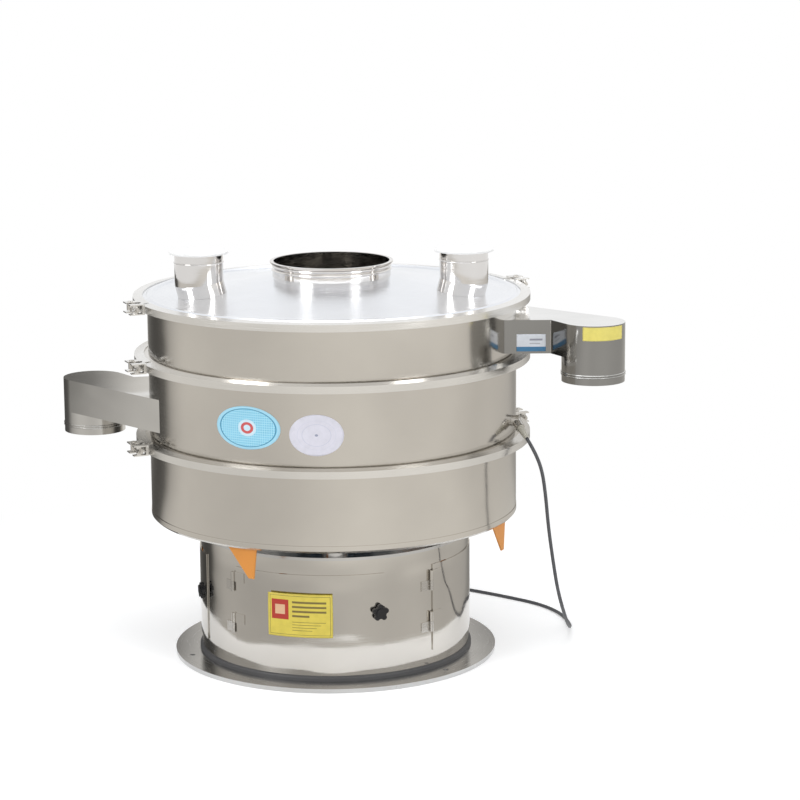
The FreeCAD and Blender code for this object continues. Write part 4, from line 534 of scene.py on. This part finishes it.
# %% steel finishes
def steel(name, colour, roughness, wave_size=3.0, wave_depth=0.25, grain=0.0, around=False, painted_side_shade=1.0):
    """Sheet steel: waviness, a faint stain of colour, and grain if asked.

    The grain is fine noise drawn out sideways, or into rings about the axis.
    Upright faces are darkened by a factor. This is painted shade, standing in for the darker surroundings that the
    sides reflect.
    """
    material, tree, shader = new_material(name)
    shader.inputs["Metallic"].default_value = 1.0
    wave = add(tree, "Group", node_tree=WAVINESS)
    wave.inputs["Size"].default_value = wave_size
    wave.inputs["Depth"].default_value = wave_depth
    axis = add(tree, "Group", node_tree=AROUND)
    grid = add(tree, "CombineXYZ")
    if around:
        join(tree, axis.outputs["Angle"], grid.inputs["X"])
        fine = add(tree, "Math", operation="MULTIPLY")
        join(tree, axis.outputs["Radius"], fine.inputs[0])
        fine.inputs[1].default_value = 90.0
        join(tree, fine.outputs[0], grid.inputs["Y"])
    else:
        join(tree, axis.outputs["Angle"], grid.inputs["X"])
        fine = add(tree, "Math", operation="MULTIPLY")
        join(tree, axis.outputs["Height"], fine.inputs[0])
        fine.inputs[1].default_value = 90.0
        join(tree, fine.outputs[0], grid.inputs["Y"])
    scratch = add(tree, "TexNoise", Scale=4.0, Detail=3.0, Roughness=0.6)
    join(tree, grid.outputs[0], scratch.inputs["Vector"])
    place = add(tree, "TexCoord")
    stain = add(tree, "TexNoise", Scale=2.2, Detail=4.0, Roughness=0.55)
    join(tree, place.outputs["Object"], stain.inputs["Vector"])
    tone = add(tree, "ValToRGB")
    tone.color_ramp.elements[0].position = 0.35
    tone.color_ramp.elements[1].position = 0.65
    tone.color_ramp.elements[0].color = (*[channel * 0.90 for channel in colour], 1)
    tone.color_ramp.elements[1].color = (*colour, 1)
    join(tree, stain.outputs[0], tone.inputs["Fac"])
    # Painted shade: the colour is darkened on upright faces and kept full on tops, chosen by the face's normal.
    if painted_side_shade < 1:
        facing = add(tree, "SeparateXYZ")
        join(tree, place.outputs["Normal"], facing.inputs[0])
        side_shade_factor = add(tree, "MapRange", From_Min=0.2, From_Max=0.8, To_Min=painted_side_shade)
        join(tree, facing.outputs["Z"], side_shade_factor.inputs["Value"])
        sides = add(tree, "VectorMath", operation="SCALE")
        join(tree, tone.outputs["Color"], sides.inputs[0])
        join(tree, side_shade_factor.outputs["Result"], sides.inputs["Scale"])
        join(tree, sides.outputs[0], shader.inputs["Base Color"])
    else:
        join(tree, tone.outputs["Color"], shader.inputs["Base Color"])
    rough = add(tree, "MapRange", From_Min=0.3, From_Max=0.7, To_Min=roughness * 0.7, To_Max=roughness * 1.3)
    join(tree, scratch.outputs[0], rough.inputs["Value"])
    join(tree, rough.outputs["Result"], shader.inputs["Roughness"])
    bump = add(tree, "Bump", Strength=grain, Distance=0.0004)
    join(tree, scratch.outputs[0], bump.inputs["Height"])
    join(tree, wave.outputs["Normal"], bump.inputs["Normal"])
    join(tree, bump.outputs[0], shader.inputs["Normal"])
    return material


def coated(name, colour, roughness, mottle=0.06, bump_depth=0.2, bump_scale=400.0, sheen=0.0):
    """Paint, plastic and rubber: uneven colour and a fine skin."""
    material, tree, shader = new_material(name)
    place = add(tree, "TexCoord")
    cloudy = add(tree, "TexNoise", Scale=14.0, Detail=5.0)
    join(tree, place.outputs["Object"], cloudy.inputs["Vector"])
    tone = add(tree, "ValToRGB")
    tone.color_ramp.elements[0].color = (*[channel * (1 - mottle) for channel in colour], 1)
    tone.color_ramp.elements[1].color = (*[min(1, channel * (1 + mottle)) for channel in colour], 1)
    join(tree, cloudy.outputs[0], tone.inputs["Fac"])
    join(tree, tone.outputs["Color"], shader.inputs["Base Color"])
    shader.inputs["Roughness"].default_value = roughness
    shader.inputs["Sheen Weight"].default_value = sheen
    skin = add(tree, "TexNoise", Scale=bump_scale, Detail=2.0)
    join(tree, place.outputs["Object"], skin.inputs["Vector"])
    bump = add(tree, "Bump", Strength=bump_depth, Distance=0.0003)
    join(tree, skin.outputs[0], bump.inputs["Height"])
    join(tree, bump.outputs[0], shader.inputs["Normal"])
    return material


STEEL_TONE = (0.70, 0.675, 0.635)
FINISHES = {
    "drum_steel": steel("drum_steel", (0.665, 0.64, 0.60), 0.15, 3.4, 0.50, 0.10),
    "base_steel": steel("base_steel", STEEL_TONE, 0.09, 4.2, 0.60, 0.06),
    # The lid's bright bluish-white tone is a painted reflection of a bright sky above it.
    "lid_steel": steel("lid_steel", (0.84, 0.86, 0.90), 0.22, 1.6, 0.16, 0.06, around=True),
    "band_steel": steel("band_steel", (0.80, 0.79, 0.77), 0.22, 4.0, 0.15, 0.2),
    # Both outlet finishes carry painted shade: upright sides darker than tops. The right-hand outlet's finish is much
    # darker on its sides.
    "chute_steel": steel("chute_steel", (0.74, 0.735, 0.72), 0.12, 5.0, 0.55, 0.08, painted_side_shade=0.86),
    "chute_steel_shaded_sides": steel("chute_steel_shaded_sides", (0.76, 0.76, 0.75), 0.11, 6.0, 0.70, 0.08, painted_side_shade=0.42),
    "pipe_steel": steel("pipe_steel", (0.72, 0.70, 0.68), 0.08, 7.0, 0.15, 0.1),
    "foot_steel": steel("foot_steel", (0.66, 0.66, 0.66), 0.22, 5.0, 0.20, 0.05, around=True),
    "bolt_steel": steel("bolt_steel", (0.62, 0.60, 0.57), 0.24, 9.0, 0.10, 0.3),
    "bare_casting": steel("bare_casting", (0.55, 0.56, 0.57), 0.35, 9.0, 0.10, 0.6),
    "zinc_plate": steel("zinc_plate", (0.60, 0.60, 0.62), 0.30, 9.0, 0.10, 0.3),
    "soft_aluminium": steel("soft_aluminium", (0.78, 0.79, 0.80), 0.34, 9.0, 0.10, 0.5),
    "black_rubber": coated("black_rubber", (0.085, 0.085, 0.088), 0.42),
    "white_silicone": coated("white_silicone", (0.80, 0.80, 0.77), 0.45),
    "spring_black": coated("spring_black", (0.035, 0.036, 0.04), 0.38),
    "knob_black": coated("knob_black", (0.012, 0.012, 0.014), 0.28),
    "motor_paint": coated("motor_paint", (0.12, 0.17, 0.22), 0.42),
    "orange_paint": coated("orange_paint", (0.72, 0.28, 0.045), 0.40, 0.12),
    "cap_white": coated("cap_white", (0.78, 0.78, 0.77), 0.38, 0.02, 0.1),
    "cable_grey": coated("cable_grey", (0.085, 0.087, 0.095), 0.45),
    "lead_grey": coated("lead_grey", (0.07, 0.07, 0.075), 0.5, bump_scale=160.0),
}
print(len(FINISHES), "finishes")

# %% every CAD node gets a finish
NODE_FINISH = {
    "base_steel": ["base_drum", "door_1", "door_2", "door_3", "door_4"],
    "drum_steel": ["motor_frame", "middle_frame", "top_frame", "skirt_rim"],
    "foot_steel": ["foot_ring", "spring_plate"],
    "lid_steel": ["lid", "dome_plate"],
    "band_steel": [f"{level}_band_{side}" for level in ("lid", "mesh", "lower") for side in ("rear", "front")],
    "chute_steel": ["fines_outlet"],
    "chute_steel_shaded_sides": ["oversize_outlet"],
    "pipe_steel": ["inlet_neck", "port_left", "port_right"],
    "bolt_steel": ["door_hinges", "clamp_pins", "cable_socket", "mesh_frame", "mesh_cloth"] + [
        f"{level}_clamp_{side}" for level in ("lid", "mesh", "lower") for side in ("left", "right")],
    "bare_casting": ["motor_plate", "upper_weight", "lower_weight"],
    "zinc_plate": ["motor_shaft", "motor_bolts", "cable_plug"],
    "soft_aluminium": ["resonance_ring", "transducer"],
    "black_rubber": ["foot_bead", "cable_gland"],
    "white_silicone": ["flat_gaskets", "mesh_gasket"],
    "spring_black": ["support_springs"],
    "knob_black": [f"door_knob_{number}" for number in (1, 2, 3, 4)] + ["motor_cable_gland"],
    "motor_paint": ["motor_housing"],
    "orange_paint": ["transport_brackets"],
    "cap_white": ["port_cap_left", "port_cap_right"],
    "cable_grey": ["signal_cable", "cable_coil"],
    "lead_grey": ["transducer_lead"],
}
for finish_name, names in NODE_FINISH.items():
    for node_name in names:
        for place in nodes[node_name].material_slots:
            place.material = FINISHES[finish_name]
unfinished = set(nodes) - {name for names in NODE_FINISH.values() for name in names}
print("nodes without a finish:", sorted(unfinished))

# %% the cable itself
def resample(line, spacing):
    """Points at an even spacing along a line."""
    travelled = np.concatenate([[0], np.cumsum(np.linalg.norm(np.diff(line, axis=0), axis=1))])
    count = int(travelled[-1] / spacing)
    spots = np.linspace(0, travelled[-1], count + 1)
    return np.column_stack([np.interp(spots, travelled, line[:, axis]) for axis in range(3)])


cable_line = resample(cable_line, 0.006)
cable = new_piece("signal_cable_line", tube_mesh("signal_cable_line", [cable_line], CABLE_RADIUS, 14),
                  FINISHES["cable_grey"])
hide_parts("signal_cable", "cable_coil")
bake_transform(cable)
print("cable", len(cable_line), "points,", len(cable.data.polygons), "faces")


# %% [markdown]
# ## Printed plates
# Five thin foil plates sit on the steel: a yellow one on the front door, two
# ovals on the middle frame, and two on the right-hand outlet. They could be
# painted in the steel's own material, but a real foil has an edge that
# catches light, so each is a thin sheet bent round the drum. A square grid
# is pressed to an oval by a formula, and its UV map is in metres, so every
# printed line has its true width. They carry only plain fields and rules.

# %% plate shapes
PLATE_LIFT = 0.0003
PLATE_SHEET = 0.0003


def pressed_grid(roundness, count=28):
    """A square of (u, v) pressed towards a disc: u sqrt(1 - k v v / 2), k from 0 to 1."""
    side = np.linspace(-1, 1, count)
    u, v = np.meshgrid(side, side)
    return u * np.sqrt(1 - roundness * v * v / 2), v * np.sqrt(1 - roundness * u * u / 2)


def plate_piece(name, places, flat, material, body):
    """A foil from a grid of places, with its flat size as its UV map."""
    mesh = grid_mesh(name, places)
    corners = np.empty(len(mesh.loops), dtype=np.int32)
    mesh.loops.foreach_get("vertex_index", corners)
    layer = mesh.uv_layers.new(name="flat_metres")
    layer.data.foreach_set("uv", flat.reshape(-1, 2)[corners].astype(np.float32).ravel())
    piece = new_piece(name, mesh, material)
    sheet = piece.modifiers.new("foil", "SOLIDIFY")
    sheet.thickness = PLATE_SHEET
    sheet.offset = 1
    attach(piece, body)
    return piece


def plate_on_drum(name, radius, middle, level, width, height, roundness, material, body, centre=(0, 0)):
    """Bent round an upright drum: angle = middle + u width / 2 R, z = level + v height / 2."""
    u, v = pressed_grid(roundness)
    angle = math.radians(middle) + u * width / (2 * radius)
    reach = radius + PLATE_LIFT
    places = np.stack([
        centre[0] + np.cos(angle) * reach, centre[1] + np.sin(angle) * reach, level + v * height / 2], axis=-1)
    return plate_piece(name, places, np.stack([u * width / 2, v * height / 2], axis=-1), material, body)


print("plates lift", PLATE_LIFT)

# %% printed materials
def blend_colour(tree, mask, under, over):
    """The colour under, covered by the colour over where the mask is one."""
    mix = add(tree, "Mix", data_type="RGBA")
    join(tree, mask, mix.inputs["Factor"])
    join(tree, under, mix.inputs[6])
    mix.inputs[7].default_value = (*over, 1)
    return mix.outputs[2]


def within(tree, value, low, high):
    """One where the value lies between two limits."""
    span = add(tree, "Math", operation="COMPARE")
    join(tree, value, span.inputs[0])
    span.inputs[1].default_value = (low + high) / 2
    span.inputs[2].default_value = (high - low) / 2
    return span.outputs[0]


def product(tree, first, second):
    both = add(tree, "Math", operation="MULTIPLY")
    join(tree, first, both.inputs[0])
    join(tree, second, both.inputs[1])
    return both.outputs[0]


def oval_radius(tree, split, width, height):
    """Distance from the middle, one on the edge of an oval of that size."""
    shape = add(tree, "CombineXYZ")
    for source, target, size in (("X", "X", width), ("Y", "Y", height)):
        scaled = add(tree, "Math", operation="DIVIDE")
        join(tree, split.outputs[source], scaled.inputs[0])
        scaled.inputs[1].default_value = size / 2
        join(tree, scaled.outputs[0], shape.inputs[target])
    reach = add(tree, "VectorMath", operation="LENGTH")
    join(tree, shape.outputs[0], reach.inputs[0])
    return reach.outputs["Value"]


def printed(name, ground, marks, roughness=0.32):
    """Printed foil. A mark is (kind, limits, colour), each drawn over the last.

    "box" has limits x0, x1, y0, y1; "ring" has width, height, inner, outer;
    "grid" has its pitch, line width, and the width and height of its oval.
    """
    material, tree, shader = new_material(name)
    place = add(tree, "TexCoord")
    split = add(tree, "SeparateXYZ")
    join(tree, place.outputs["UV"], split.inputs[0])
    worn = add(tree, "TexNoise", Scale=60.0, Detail=4.0)
    join(tree, place.outputs["Object"], worn.inputs["Vector"])
    tone = add(tree, "ValToRGB")
    tone.color_ramp.elements[0].position = 0.35
    tone.color_ramp.elements[0].color = (*[channel * 0.93 for channel in ground], 1)
    tone.color_ramp.elements[1].position = 0.60
    tone.color_ramp.elements[1].color = (*ground, 1)
    join(tree, worn.outputs[0], tone.inputs["Fac"])
    colour = tone.outputs["Color"]
    for kind, limits, ink in marks:
        if kind == "box":
            mask = product(tree, within(tree, split.outputs["X"], *limits[:2]),
                           within(tree, split.outputs["Y"], *limits[2:]))
        elif kind == "ring":
            mask = within(tree, oval_radius(tree, split, *limits[:2]), *limits[2:])
        else:
            pitch, line, width, height = limits
            lines = []
            for axis in ("X", "Y"):
                wrap = add(tree, "Math", operation="PINGPONG")
                join(tree, split.outputs[axis], wrap.inputs[0])
                wrap.inputs[1].default_value = pitch / 2
                lines.append(within(tree, wrap.outputs[0], 0, line / 2))
            either = add(tree, "Math", operation="MAXIMUM")
            join(tree, lines[0], either.inputs[0])
            join(tree, lines[1], either.inputs[1])
            mask = product(tree, either.outputs[0], within(tree, oval_radius(tree, split, width, height), 0, 1))
        colour = blend_colour(tree, mask, colour, ink)
    join(tree, colour, shader.inputs["Base Color"])
    rough = add(tree, "MapRange", To_Min=roughness * 0.8, To_Max=roughness * 1.3)
    join(tree, worn.outputs[0], rough.inputs["Value"])
    join(tree, rough.outputs["Result"], shader.inputs["Roughness"])
    bump = add(tree, "Bump", Strength=0.15, Distance=0.0002)
    join(tree, worn.outputs[0], bump.inputs["Height"])
    join(tree, bump.outputs[0], shader.inputs["Normal"])
    return material


def frame_lines(width, height, line, ink):
    """Four thin boxes that make a rectangular border."""
    x, y = width / 2, height / 2
    return [("box", (-x, x, y - line, y), ink), ("box", (-x, x, -y, -y + line), ink),
            ("box", (-x, -x + line, -y, y), ink), ("box", (x - line, x, -y, y), ink)]


print("printing ready")

# %% the yellow plate on the front door
SIGN_YELLOW = (0.78, 0.64, 0.10)
SIGN_INK = (0.22, 0.17, 0.05)
SIGN_WIDTH, SIGN_HEIGHT = 0.178, 0.118
sign_marks = frame_lines(0.166, 0.106, 0.0011, SIGN_INK)
sign_marks.append(("box", (-0.078, -0.030, -0.012, 0.042), (0.50, 0.045, 0.03)))
sign_marks.append(("box", (-0.068, -0.040, 0.002, 0.028), (0.80, 0.50, 0.30)))
for row in range(4):
    level = 0.036 - row * 0.0125
    sign_marks.append(("box", (-0.020, 0.072 - (0.045 if row == 3 else 0), level - 0.0028, level + 0.0028), SIGN_INK))
for row in range(4):
    level = -0.018 - row * 0.0075
    sign_marks.append(("box", (-0.020, 0.070 - 0.012 * row, level - 0.0007, level + 0.0007), SIGN_INK))
sign_yellow = printed("sign_yellow", SIGN_YELLOW, sign_marks)


def node_points(name):
    """All the corners of a CAD node's mesh as an array."""
    corners = nodes[name].data.vertices
    places = np.empty(len(corners) * 3)
    corners.foreach_get("co", places)
    return places.reshape(-1, 3)


DOOR_FACE = float(np.linalg.norm(node_points("door_1")[:, :2], axis=1).max())
door_sign = plate_on_drum("door_sign", DOOR_FACE, 255.5, 0.1915, SIGN_WIDTH, SIGN_HEIGHT, 0.03,
                          sign_yellow, "door_1")
print("door face radius", round(DOOR_FACE, 4))

# %% two ovals on the middle frame
FRAME_FACE = 0.500
BADGE_BLUE, BADGE_DEEP = (0.22, 0.58, 0.78), (0.03, 0.20, 0.36)
blue_marks = [
    ("ring", (0.185, 0.113, 0.90, 1.10), (0.38, 0.70, 0.86)),
    ("grid", (0.0062, 0.0016, 0.160, 0.098), (0.42, 0.76, 0.90)),
    ("ring", (0.163, 0.100, 0.97, 1.0), BADGE_DEEP),
    ("ring", (0.052, 0.044, 0.0, 1.0), (0.62, 0.80, 0.90)),
    ("ring", (0.036, 0.030, 0.55, 1.0), (0.62, 0.10, 0.10)),
]
badge_blue = printed("badge_blue", BADGE_BLUE, blue_marks)
blue_oval = plate_on_drum("blue_oval", FRAME_FACE, 243.7, 0.7165, 0.185, 0.113, 1.0,
                          badge_blue, "deck")
pale_marks = [
    ("ring", (0.141, 0.108, 0.52, 0.535), (0.52, 0.54, 0.66)),
    ("ring", (0.141, 0.108, 0.70, 0.71), (0.60, 0.62, 0.72)),
    ("ring", (0.141, 0.108, 0.0, 0.06), (0.30, 0.32, 0.42)),
]
badge_pale = printed("badge_pale", (0.72, 0.71, 0.79), pale_marks)
pale_oval = plate_on_drum("pale_oval", FRAME_FACE, 265.0, 0.705, 0.141, 0.108, 1.0,
                          badge_pale, "deck")
print("ovals at", 243.7, 265.0)

# %% [markdown]
# ## The outlets' plates and seams
# Each outlet is a folded box that ends round its spout. The right-hand
# outlet's flat near side carries a white plate with a blue foot, and a bare
# yellow strip goes round its spout. The fold of each near side is welded, and
# so is the upright seam of each rolled frame, at the back. A weld could be a
# texture, but it catches the light at the silhouette, so it is a thin tube
# whose radius swells with every drop of weld metal.

# %% outlet layout
OUTLETS = {  # azimuth, spout's reach, near corner's reach, floor of the box
    "oversize": (math.radians(-19.1), 0.728, 0.440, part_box("oversize_outlet")[1].z - 0.090),
    "fines": (math.radians(166.5), 0.684, 0.440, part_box("fines_outlet")[1].z - 0.090),
}
BOX_HEIGHT = 0.090
SPOUT_RADIUS = 0.084


def outlet_place(outlet, along, side, level=0.0):
    """A point given along and beside an outlet's own direction."""
    azimuth = OUTLETS[outlet][0]
    x, y = math.cos(azimuth), math.sin(azimuth)
    return np.array([along * x - side * y, along * y + side * x, level])


def near_side(outlet):
    """Inner end and fold of the outlet's near side, at its floor."""
    azimuth, reach, inner, floor_level = OUTLETS[outlet]
    return outlet_place(outlet, inner, -0.067, floor_level), outlet_place(outlet, reach - 0.113, -0.010, floor_level)


inner, fold = near_side("oversize")
print("fold of the right-hand outlet", fold.round(4))

# %% outlet plates
along = (inner - fold) / np.linalg.norm(inner - fold)
outward = np.array([along[1], -along[0], 0])
if outward[1] > 0:
    outward = -outward
TAG_WIDTH, TAG_HEIGHT = 0.078, 0.046
tag_marks = [
    ("box", (-0.039, 0.039, -0.023, -0.0105), (0.05, 0.19, 0.36)),
    ("box", (-0.004, 0.030, 0.006, 0.011), (0.30, 0.31, 0.36)),
    ("box", (-0.004, 0.024, -0.003, -0.0005), (0.42, 0.43, 0.47)),
]
tag_white = printed("tag_white", (0.74, 0.77, 0.82), tag_marks)
u, v = pressed_grid(0.03)
tag_middle = fold + along * 0.052 + np.array([0, 0, 0.029]) + outward * PLATE_LIFT
tag_places = (tag_middle - along * (u * TAG_WIDTH / 2)[..., None]
              + np.array([0, 0, 1.0]) * (v * TAG_HEIGHT / 2)[..., None])
plate_piece("outlet_tag", tag_places, np.stack([u * TAG_WIDTH / 2, v * TAG_HEIGHT / 2], axis=-1),
            tag_white, "deck")
strip_yellow = printed("strip_yellow", (0.76, 0.66, 0.16), frame_lines(0.118, 0.034, 0.0006, (0.60, 0.50, 0.10)))
spout = outlet_place("oversize", OUTLETS["oversize"][1], 0)
plate_on_drum("outlet_strip", SPOUT_RADIUS, 286, OUTLETS["oversize"][3] + BOX_HEIGHT - 0.021, 0.120, 0.036, 0.02,
              strip_yellow, "deck", (spout[0], spout[1]))
print("tag at", tag_middle.round(4))

# %% weld seams
WELD_STEP = 0.004
weld_steel = steel("weld_steel", (0.60, 0.585, 0.56), 0.34, 30.0, 0.1, 0.6)


def weld(name, line, radius, body="deck"):
    """A row of drops along a line: r = R (1 + 0.14 sin(2 pi s / step)), s being the way along it."""
    line = resample(np.array(line, dtype=float), WELD_STEP / 4)
    way = np.concatenate([[0], np.cumsum(np.linalg.norm(np.diff(line, axis=0), axis=1))])
    swell = radius * (1 + 0.14 * np.sin(2 * math.pi * way / WELD_STEP))
    bead = new_piece(name, tube_mesh(name, [line], swell, 8), weld_steel)
    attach(bead, body)
    return bead


def arc(radius, level, start, end, count=60):
    """Points at one level round the upright axis, from one angle to another in degrees."""
    turn = np.radians(np.linspace(start, end, count))
    return np.column_stack([np.cos(turn) * radius, np.sin(turn) * radius, np.full(count, level)])


for outlet in OUTLETS:
    inner, fold = near_side(outlet)
    top = np.array([0, 0, BOX_HEIGHT])
    weld(f"{outlet}_fold_weld", [fold + top * 0.02, fold + top * 0.98], 0.0011)
SEAM_AZIMUTH = 102
for name, low_node in (("motor_frame", "skirt_rim"), ("middle_frame", "middle_frame"), ("top_frame", "top_frame")):
    low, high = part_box(name)
    low_level = max(low.z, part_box(low_node)[1].z) if name == "motor_frame" else low.z + 0.016
    seam = arc(0.5002, 0, SEAM_AZIMUTH, SEAM_AZIMUTH, 2)
    seam[:, 2] = low_level + 0.004, high.z - 0.016
    weld(f"{name}_seam", seam, 0.0009)

# %% [markdown]
# ## Support springs
# Six coil springs carry the deck. The CAD coils are rigid, but a spring must
# shorten when the deck bounces. Shape keys or an armature could do that; here
# the coils are only rebuilt as one tube along six helices, and nothing in
# this script makes them shorten.

# %% coil springs
SPRING_COUNT = 6
COIL_RADIUS, WIRE_RADIUS = 0.025, 0.0045
SPRING_TURNS = 5
END_CLOSING = 0.45
spring_low, spring_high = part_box("support_springs")
SPRING_CIRCLE = spring_high.y - COIL_RADIUS - WIRE_RADIUS


def spring_line(middle, first_turn):
    """A helix whose pitch is small at both ends: z = rise (t - k sin(2 pi t) / (2 pi))."""
    t = np.linspace(0, 1, SPRING_TURNS * 28)
    turn = first_turn + 2 * math.pi * SPRING_TURNS * t
    rise = spring_high.z - spring_low.z - 2 * WIRE_RADIUS
    level = rise * (t - END_CLOSING * np.sin(2 * math.pi * t) / (2 * math.pi))
    return np.column_stack([
        middle[0] + COIL_RADIUS * np.cos(turn), middle[1] + COIL_RADIUS * np.sin(turn),
        spring_low.z + WIRE_RADIUS + level])


spring_turns = np.radians((np.arange(SPRING_COUNT) + 0.5) * 360 / SPRING_COUNT)
spring_lines = [
    spring_line((SPRING_CIRCLE * math.cos(turn), SPRING_CIRCLE * math.sin(turn)), turn) for turn in spring_turns]
springs = new_piece("coil_springs", tube_mesh("coil_springs", spring_lines, WIRE_RADIUS, 12),
                    FINISHES["spring_black"])
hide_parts("support_springs")
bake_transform(springs)
print("springs", len(spring_lines), "on a circle of", round(SPRING_CIRCLE, 4), "m,", len(springs.data.polygons), "faces")

# %% [markdown]
# ## Strain relief
# Where the signal cable leaves its gland, a ribbed rubber sleeve keeps it
# from kinking. A real one is moulded: a round cap, then a cone cut by
# grooves so that it bends. The profile is one line of radii along the
# gland's axis, carried round it as the tube function does.

# %% ribbed sleeve
gland_start = np.array(GLAND_END) - np.array([0.0255, -0.0594, -0.037])
gland_axis = np.array(GLAND_END) - gland_start
GLAND_LENGTH = float(np.linalg.norm(gland_axis))
CAP_LENGTH, CAP_RADIUS = 0.030, 0.0128
way = np.linspace(0, GLAND_LENGTH, 180)
cone = np.interp(way, [CAP_LENGTH, GLAND_LENGTH], [0.0102, 0.0066])
RIB_PITCH = 0.0052
rib = 0.5 + 0.5 * np.sign(np.sin(2 * math.pi * (way - CAP_LENGTH) / RIB_PITCH))
sleeve = cone * (0.86 + 0.14 * rib)
cap = CAP_RADIUS * np.where((way % 0.010) < 0.0012, 0.95, 1.0)
cap = cap * (1 - 0.12 * np.clip((0.003 - way) / 0.003, 0, 1))
profile = np.where(way < CAP_LENGTH, cap, sleeve)
gland_line = gland_start + gland_axis / GLAND_LENGTH * way[:, None]
relief = new_piece("strain_relief", tube_mesh("strain_relief", [gland_line], profile, 28),
                   coated("gland_ivory", (0.52, 0.50, 0.43), 0.36, 0.10))
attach(relief, "deck")
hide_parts("cable_gland")
print("sleeve", round(GLAND_LENGTH, 4), "m,", len(relief.data.polygons), "faces")
